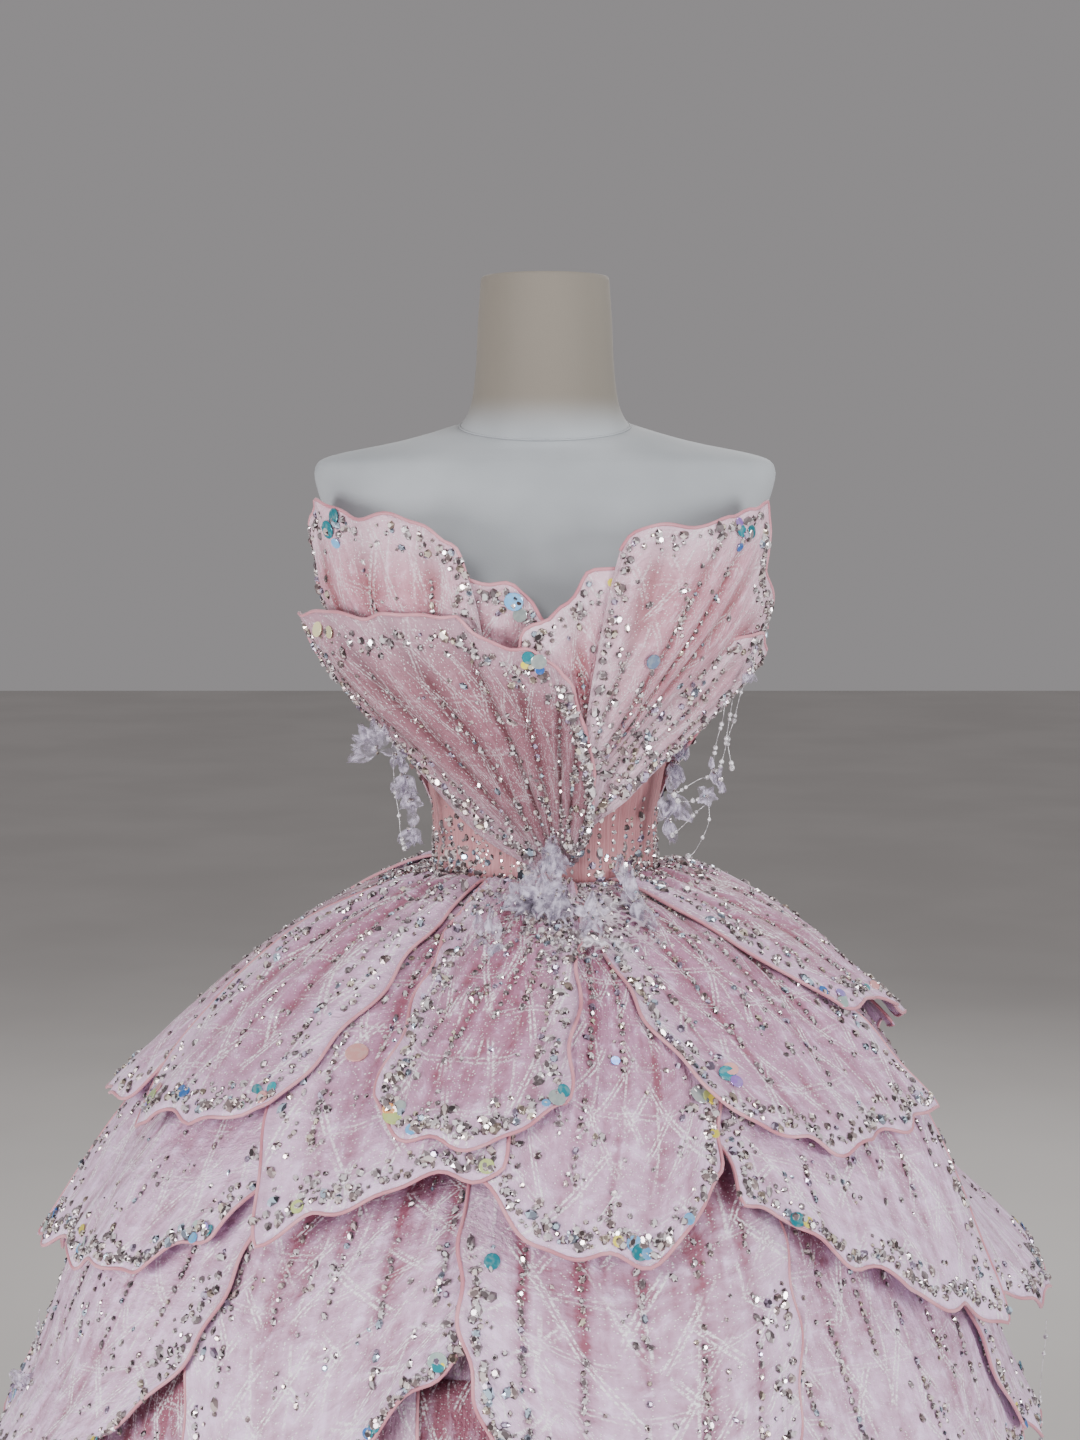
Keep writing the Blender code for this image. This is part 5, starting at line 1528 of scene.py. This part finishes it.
# kind: the turns of its petals, half width, cup
FLOWER_KINDS = {
    "fan": ((130, 62, -8, -78, -150), 0.38, 0.22),
    "bell": ((150, 118, 92, 62, -150, -172), 0.26, 0.34),
    "star": ((78, 12, -62, -104, 158), 0.24, 0.24),
    "drape": ((-58, -82, -104, -128, 84), 0.26, 0.2),
    "strip": ((-76, -98, 100), 0.22, 0.14),
}
# Each strand is a line of places that it hangs through.
STRANDS = (
    ((0.1743, -0.066, 1.2642), (0.1761, -0.068, 1.2474), (0.1738, -0.07, 1.2306),
     (0.1655, -0.07, 1.2154), (0.1607, -0.07, 1.1968), (0.159, -0.07, 1.1892),
     (0.1541, -0.07, 1.1723), (0.1577, -0.07, 1.1493)),
    ((0.148, -0.072, 1.22), (0.1505, -0.072, 1.2019), (0.1489, -0.072, 1.1884),
     (0.1448, -0.072, 1.174), (0.1424, -0.072, 1.1595), (0.1409, -0.072, 1.1417)),
    ((0.1572, -0.074, 1.207), (0.1532, -0.074, 1.1807), (0.1508, -0.074, 1.1629),
     (0.1434, -0.074, 1.1434), (0.1308, -0.074, 1.1408), (0.1089, -0.07, 1.1264)),
    ((0.1377, -0.072, 1.1221), (0.1386, -0.072, 1.1051), (0.1337, -0.072, 1.0914),
     (0.1261, -0.072, 1.0777), (0.1211, -0.072, 1.0743)),
    ((0.1377, -0.072, 1.12), (0.1276, -0.072, 1.1119), (0.1175, -0.07, 1.1008),
     (0.108, -0.066, 1.0914)),
    ((0.141, -0.072, 1.1264), (0.1224, -0.072, 1.1213), (0.1123, -0.07, 1.1213)),
    ((-0.1292, -0.06, 1.16), (-0.1276, -0.06, 1.1306), (-0.1244, -0.06, 1.1093),
     (-0.1228, -0.06, 1.0905), (-0.1195, -0.06, 1.0794)),
    ((0.4505, 0.0, 0.642), (0.45, 0.0, 0.62), (0.4484, 0.0, 0.6042),
     (0.4464, 0.0, 0.5715), (0.4481, 0.0, 0.5378), (0.447, 0.0, 0.51)),
    ((-0.43, -0.1, 0.69), (-0.4339, -0.102, 0.6577), (-0.4325, -0.104, 0.6444),
     (-0.4415, -0.106, 0.625), (-0.44, -0.108, 0.595)),
)
THREAD_RADIUS = 0.00028


def dress_waist():
    """The net patch in place of its node, and the organza flowers on it and beside the waist."""
    u, v = even_grid(31, 61)
    middle = (APPLIQUE_LEFT + APPLIQUE_RIGHT) / 2
    half = (APPLIQUE_RIGHT - APPLIQUE_LEFT) / 2

    def patch(u, v, lift):
        azimuth = middle + half * u * (1 - 0.30 * v)
        droop = (1 - 0.22 * u ** 2) * (1 + 0.04 * np.cos(5 * math.pi * u))
        length = APPLIQUE_TOP + (APPLIQUE_BOTTOM - APPLIQUE_TOP) * v * droop
        height = skirt_layer_height(azimuth, length, 1, APPLIQUE_LAYER) + APPLIQUE_LIFT
        fold = np.abs(np.sin(5.5 * math.pi * u + 2 * v)) ** 0.7
        return skirt_point(azimuth, length, height + 0.0022 * fold * np.sin(math.pi * v) ** 0.5 + lift)

    edge = np.minimum((1 - np.abs(u)) * 0.045, np.minimum(1 - v, v + 0.1) * 0.10)
    add_cloth("waist_applique", patch(u, v, 0.0), patch(u, v, 0.0006),
              np.stack([u * 0.08, v * 0.11], axis=-1), np.stack([0 * u, edge, 0 * u], axis=-1),
              "net")
    placed = []
    for azimuth, length, height, radius, kind in WAIST_FLOWERS:
        base = skirt_layer_height(azimuth, length, 1, APPLIQUE_LAYER) + height
        centre = skirt_point(azimuth, length, base)
        normal = unit(skirt_point(azimuth, length, base + 0.01) - centre)
        facing = unit(0.45 * normal + [0.6 * math.sin(math.radians(azimuth)), -0.9, 0.1])
        placed.append((centre, facing, radius, kind))
    hearts = Setting()
    dice = np.random.default_rng(5)
    for name, table in (("waist_flowers", placed), ("side_flowers", SIDE_FLOWERS)):
        parts = []
        for number, (centre, facing, radius, kind) in enumerate(table):
            angles, wide, cup = FLOWER_KINDS[kind]
            seed = 7 * number + len(table)
            parts += flower_arrays(centre, facing, radius, seed, angles, wide, cup)
            normal = unit(np.asarray(facing, float))
            spots = (np.asarray(centre) + normal * radius * 0.22
                     + dice.normal(0, radius * 0.10, (4, 3)))
            hearts.add_frames(spots, np.tile(normal, (4, 1)), np.tile([0.0, 0.0, 1.0], (4, 1)),
                              dice.uniform(0.0012, 0.0018, 4), 1.0, dice)
        add_arrays(name, join_arrays(parts), "flower")
    hearts.add_crystals("flower_hearts", 77, "white_flowers", [SMALL_GEM])
    return patch


def hang_strands():
    """Fine threads through their places, with small beads along them and a drop at the end."""
    threads, beads = [], []
    dice = np.random.default_rng(21)
    for line in STRANDS:
        path = even_path(curve_through(line, 80), 0.0040)
        threads.append(tube_arrays(path, THREAD_RADIUS, 5))
        group = np.arange(len(path)) % 5
        for place in path[(group == 3) | (group == 4)]:
            if dice.random() < 0.75:
                beads.append(bead_arrays(place, dice.uniform(0.0016, 0.0024), 7, 3))
        beads.append(bead_arrays(path[-1], 0.0026, 8, 4))
    add_arrays("strand_threads", join_arrays(threads), "bead")
    add_arrays("strand_beads", join_arrays(beads), "bead")


# ==== form and stand
FORM_SIDES = 112


def dress_form():
    """The form's torso and neck with many sides, through the same section tables."""
    azimuth = np.linspace(0, 360, FORM_SIDES, endpoint=False)
    turn = np.cos(np.radians(azimuth))
    rings = []
    for level, half_width, half_depth, centre_y, power, dip in np.concatenate(
            [TORSO_CURVE[:60:8], TORSO_CURVE[60::2]]):
        rings.append(oval_point(azimuth, half_width, half_depth, centre_y, level, power))
        rings[-1][:, 2] -= dip * turn
    centre = np.array([0.0, TORSO_CURVE[0, 3], TORSO_CURVE[0, 0]])
    rings = [centre + (rings[0] - centre) * share for share in (0.02, 0.97)] + rings
    add_arrays("covered_torso", ring_arrays(rings), "form", ("form_torso",))

    foot = dict(zip(TORSO_COLUMNS, TORSO_RINGS[-1]))
    rings = []
    for above, half_width, half_depth, dip_share in curve_through(NECK_RINGS, 33):
        rings.append(oval_point(azimuth, half_width, half_depth, foot["centre_y"],
                                foot["z"] + SEAM_GAP + above))
        rings[-1][:, 2] -= foot["dip"] * dip_share * turn
    for share, drop in ((0.0, 0.0040), (0.35, 0.0012), (1.0, 0.0002), (2.4, 0.0), (30.0, -0.0006)):
        radius = NECK_TOP_RADIUS - 0.0016 * share
        rings.append(oval_point(azimuth, radius, radius, foot["centre_y"], NECK_TOP_Z - drop))
    add_arrays("covered_neck", ring_arrays(rings), "form", ("form_neck",))
    seam = rings[0] + np.array([0.0, 0.0, 0.0004])
    add_arrays("neck_seam", tube_arrays(np.concatenate([seam, seam[:2]]), 0.0009, 6), "form")

    for name in ("stand_base", "stand_pole"):
        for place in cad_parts[name].material_slots:
            place.material = FINISHES["stand"]


# ==== assembly
# petal: the edge, from and to as shares of it and the band's inner edge in metres of each band
DENSE_BANDS = {
    "petal_1_front": (("rim", 0.1, 0.82, 0.018), ("left", 0.62, 0.95, 0.015)),
    "petal_1_front_right": (("rim", 0.05, 0.75, 0.017), ("right", 0.76, 0.98, 0.014)),
    "petal_1_front_left": (("rim", 0, 0.95, 0.015),),
    "petal_1_side_right": (("left", 0.15, 0.92, 0.01), ("rim", 0.55, 1, 0.014)),
    "petal_1_side_left": (("rim", 0.05, 0.95, 0.014),),
    "petal_1_far_right": (("rim", 0.5, 1, 0.02),),
    "petal_2_side_left": (("rim", 0, 0.9, 0.014),),
    "petal_2_side_right": (("rim", 0, 1, 0.013),),
    "petal_2_far_right": (("rim", 0.25, 1, 0.022),),
    "petal_3_side_left": (("rim", 0.3, 1, 0.014),),
    "petal_3_front_left": (("rim", 0.3, 1, 0.015),),
    "petal_3_front": (("left", 0.3, 0.8, 0.01),),
    "bodice_left_wrap": (("left", 0.05, 1, 0.013), ("rim", 0.66, 1, 0.036),
                         ("rim", 0, 0.16, 0.014)),
    "bodice_right_lobe": (("right", 0.1, 1, 0.012), ("rim", 0.3, 1, 0.01)),
    "bodice_left_outer": (("rim", 0, 0.3, 0.014),),
    "bodice_right_outer": (("rim", 0.6, 1, 0.014),),
}


def trim_petal(petal, seed, stones, discs, edge, valley, scattered, corner):
    """The stones of one petal; the last four are the arguments of its stones along the edge and
    in the valleys, its scattered stones a square metre, and its corner discs, if any."""
    edge_stones(stones, petal, seed, *edge)
    valley_stones(stones, petal, seed + 1000, *valley)
    scattered_stones(stones, petal, seed + 2000, scattered)
    if corner:
        corner_discs(discs, petal, seed + 3000, corner)
    for band in DENSE_BANDS.get(petal.name, ()):
        dense_band(stones, petal, seed + 4000, *band)


SEEN_TO, BACK_FROM = 85, 100    # degrees from the centre front


def dress_skirt():
    """Every skirt petal, its piping and its stones, tier by tier."""
    petals = [SkirtPetal(values, number)
              for number, values in enumerate(SKIRT_PETALS + tuple(lower_petal_rows()))]
    named = {owner for owner, _ in FEATURE_DISCS}
    for tier in TIER_ROOT:
        piping, stones, discs = [], Setting(), Setting()
        for petal in petals:
            if petal.tier != tier:
                continue
            half = "underskirt_back" if petal.away() > BACK_FROM else "underskirt_front"
            dress_petal(petal, "skirt")
            piping.append(piping_arrays(petal))
            seen = tier < 4 and petal.away() < SEEN_TO
            trim_petal(petal, 100 * tier + petal.number, stones, discs,
                       (0.12 if tier == 1 else 0.4, 0.0044 if tier < 4 else 0.0062, 0.030,
                        4.0 if seen else 2.6),
                       (0.88, 0.0070 if seen else 0.0110, 0.03 if tier == 1 else 0.25),
                       950.0 if seen else 260.0, 0 if petal.name in named else 4)
        add_arrays(f"piping_tier_{tier}", join_arrays(piping), "piping")
        stones.add_crystals(f"crystals_tier_{tier}", tier, "organza", GEMS)
        discs.add_discs(f"discs_tier_{tier}", tier, "organza", rainbow_palette)
    add_feature_discs("discs_skirt_features", 50, "organza", petals)
    return petals


def dress_bodice():
    """The pleated bodice petals with their piping and stones."""
    petals = [BodicePetal(row, number) for number, row in enumerate(BODICE_PETALS)]
    piping, stones, discs = [], Setting(), Setting()
    for petal in petals:
        back, wrap = "back" in petal.name, petal.name == "bodice_left_wrap"
        dress_petal(petal, "wrap" if wrap else "bodice")
        piping.append(piping_arrays(petal, 1.0))
        near = WRAP_NEAREST if wrap else EDGE_NEAREST
        trim_petal(petal, 900 + petal.number, stones, discs,
                   (0.10, 0.0044, near + 0.020, 3.4, near), (0.96, 0.0064, 0.08, 0.0027),
                   800.0, 2 if back else 0)
    add_feature_discs("discs_bodice_features", 51, "pleated_organza", petals)
    add_arrays("piping_bodice", join_arrays(piping), "piping")
    stones.add_crystals("crystals_bodice", 41, "pleated_organza", GEMS)
    discs.add_discs("discs_bodice", 42, "pleated_organza", rainbow_palette)


def topmost(petals, azimuth, length):
    """For places near the waist, which petal lies on top there, and its u and v."""
    chosen = np.full(azimuth.shape, -1)
    found_u, found_v, rank = np.zeros(azimuth.shape), np.zeros(azimuth.shape), chosen - 0.5
    for number, petal in enumerate(petals):
        if petal.tier != 1:
            continue
        v = (length - petal.root) / petal.length
        left, right = three_point(petal.left, v), three_point(petal.right, v)
        middle = (left + right) / 2
        u = 2 * (((azimuth - middle + 180) % 360 - 180) / (right - left))
        wins = (np.abs(u) < 0.97) & (v > 0) & (petal.layer > rank)
        chosen[wins], found_u[wins], found_v[wins] = number, u[wins], v[wins]
        rank[wins] = petal.layer
    return chosen, found_u, found_v


# Heavy beading at the hips: azimuth from and to, distance from the waist, how many
HIP_BEADS = ((-100, -40, 0.050, 130), (42, 100, 0.045, 110), (-42, 42, 0.050, 90),
             (100, 260, 0.016, 150))
# The same on the corset: azimuth from and to, height over the waist, how many
CORSET_BEADS = ((-112, -44, 0.052, 150), (46, 112, 0.044, 110), (-60, -4, 0.085, 130),
                (24, 60, 0.030, 50), (112, 248, 0.012, 110))


def set_waist_stones(panels, petals, patch):
    """Upright chains on the corset, heavy beading at the hips on corset and skirt, and the
    waist patch's stones."""
    stones, dice = Setting(), np.random.default_rng(63)
    for panel in panels:
        lines = int((panel.end - panel.start) / 7)
        for number in range(lines):
            u = 2 * (number + 0.5) / lines - 1
            v = np.arange(dice.uniform(0.66, 0.88), 0.995, 0.0066 / panel.length)
            v = v + dice.normal(0, 0.004, len(v))
            drift = dice.normal(0, 0.02) + dice.normal(0, 0.006, len(v))
            size, stretch = stone_sizes(dice, len(v), 0.12)
            stones.add(panel, u + drift, v, size, stretch, 800 + 11 * number + panel.number)
        for first, last, top, count in CORSET_BEADS:
            azimuth = dice.uniform(first, last, count)
            azimuth = np.where(azimuth > 180, azimuth - 360, azimuth)
            above = top * dice.beta(1.0, 2.0, count)
            inside = (azimuth > panel.start + 1) & (azimuth < panel.end - 1)
            u = 2 * (azimuth[inside] - panel.start) / (panel.end - panel.start) - 1
            size, stretch = stone_sizes(dice, len(u), 0.45)
            stones.add(panel, u, 1 - above[inside] / 0.206, size, stretch, int(900 + first),
                       room=0.0046)
    for first, last, reach, count in HIP_BEADS:
        azimuth, length = dice.uniform(first, last, count), 0.003 + reach * dice.beta(1, 1.8, count)
        chosen, u, v = topmost(petals, azimuth, length)
        for number in np.unique(chosen[chosen >= 0]):
            here = chosen == number
            size, stretch = stone_sizes(dice, here.sum(), 0.5)
            stones.add(petals[number], u[here], v[here], size, stretch, int(950 + number),
                       room=0.0048)
    across = np.concatenate([dice.normal(-0.30, 0.22, 150), dice.normal(0, 0.42, 60)])
    down = np.concatenate([dice.beta(2.2, 1.6, 150), dice.beta(1.0, 3.5, 60)])
    keep = np.abs(across) < 1
    across, down = across[keep], down[keep]
    centre = patch(across, down, 0.0008)
    over = patch(across, down, 0.003) - centre
    size, stretch = stone_sizes(dice, len(centre), 0.15)
    stones.add_frames(centre, unit(unit(over) + 0.25 * dice.normal(size=over.shape)),
                      np.tile([0.0, 0.0, 1.0], (len(centre), 1)), size, stretch, dice)
    stones.add_crystals("crystals_waist", 64, "corset_satin", GEMS)


def lower_petal_rows():
    """Rows for the two lowest tiers, worked out round the skirt."""
    for tier, first, hem_middle, corner_rise, root_width, hem_width in LOWER_TIERS:
        for number in range(LOWER_PETAL_COUNT):
            centre = first + number * 360.0 / LOWER_PETAL_COUNT
            swing = 2.0 * math.sin(2.4 * number + tier)
            length = hem_middle + 0.008 * math.sin(1.7 * number + tier)
            half_root, half_hem = root_width / 2, hem_width / 2
            yield (f"petal_{tier}_{number + 1}", tier, number % 2,
                   (centre - half_root, centre - half_root - 1, centre - half_hem + swing),
                   (centre + half_root, centre + half_root + 1, centre + half_hem + swing),
                   tuple(length - corner_rise * share for share in LOWER_HEM_SHARE),
                   4, 0.0020, 0.008, 0.002, 0.002)


def light_and_camera():
    """A pale floor, soft studio lights and the camera in front of the bodice."""
    reach, level = 14.0, -0.001
    corners = [(reach * x, reach * y, level) for x, y in ((-1, -1), (1, -1), (1, 1), (-1, 1))]
    mesh = bpy.data.meshes.new("studio_floor")
    mesh.from_pydata(corners, [], [(0, 1, 2, 3)])
    mesh.materials.append(FINISHES["floor"])
    floor = bpy.data.objects.new("studio_floor", mesh)
    bpy.context.scene.collection.objects.link(floor)

    world = bpy.data.worlds.new("soft_room")
    bpy.context.scene.world = world
    world.use_nodes = True
    background = world.node_tree.nodes["Background"]
    background.inputs["Color"].default_value = (0.52, 0.50, 0.51, 1.0)
    background.inputs["Strength"].default_value = 0.55

    for name, place, aim, width, height, power, tint in (
            ("key", (-0.9, -2.6, 2.2), (0.0, 0.0, 0.8), 0.7, 0.7, 29.0, (1.0, 0.98, 0.98)),
            ("overhead", (0.8, -0.8, 2.9), (0.0, 0.0, 0.9), 0.7, 0.7, 20.0, (1.0, 0.98, 0.98)),
            ("right_fill", (2.5, -2.0, 1.2), (0.1, 0.0, 0.7), 1.0, 1.2, 77.0, (0.97, 0.98, 1.0)),
            ("left_fill", (-2.5, -1.9, 1.0), (-0.1, 0.0, 0.6), 1.0, 1.2, 82.0, (1.0, 0.98, 1.0)),
            ("back", (0.6, 2.8, 2.6), (0.0, 0.0, 0.8), 1.4, 1.2, 42.0, (1.0, 1.0, 1.0))):
        lamp = bpy.data.lights.new(name, "AREA")
        lamp.shape, lamp.size, lamp.size_y = "RECTANGLE", width, height
        lamp.energy, lamp.color = power, tint
        holder = bpy.data.objects.new(name, lamp)
        holder.location = place
        towards = np.asarray(aim) - np.asarray(place)
        flat = math.hypot(towards[0], towards[1])
        holder.rotation_euler = (math.atan2(flat, -towards[2]), 0.0,
                                 math.atan2(-towards[0], towards[1]))
        bpy.context.scene.collection.objects.link(holder)

    lens = bpy.data.cameras.new("view")
    lens.lens, lens.sensor_width = 55.0, 36.0
    camera = bpy.data.objects.new("view", lens)
    camera.location = (-0.0043, -1.913, 1.374)
    camera.rotation_euler = (math.radians(90 - 5.7), 0.0, 0.0)
    bpy.context.scene.collection.objects.link(camera)
    bpy.context.scene.camera = camera


light_and_camera()
dress_form()
corset_panels = dress_corset()
dress_underskirt()
skirt_petals = dress_skirt()
dress_bodice()
waist_patch = dress_waist()
set_waist_stones(corset_panels, skirt_petals, waist_patch)
hang_strands()
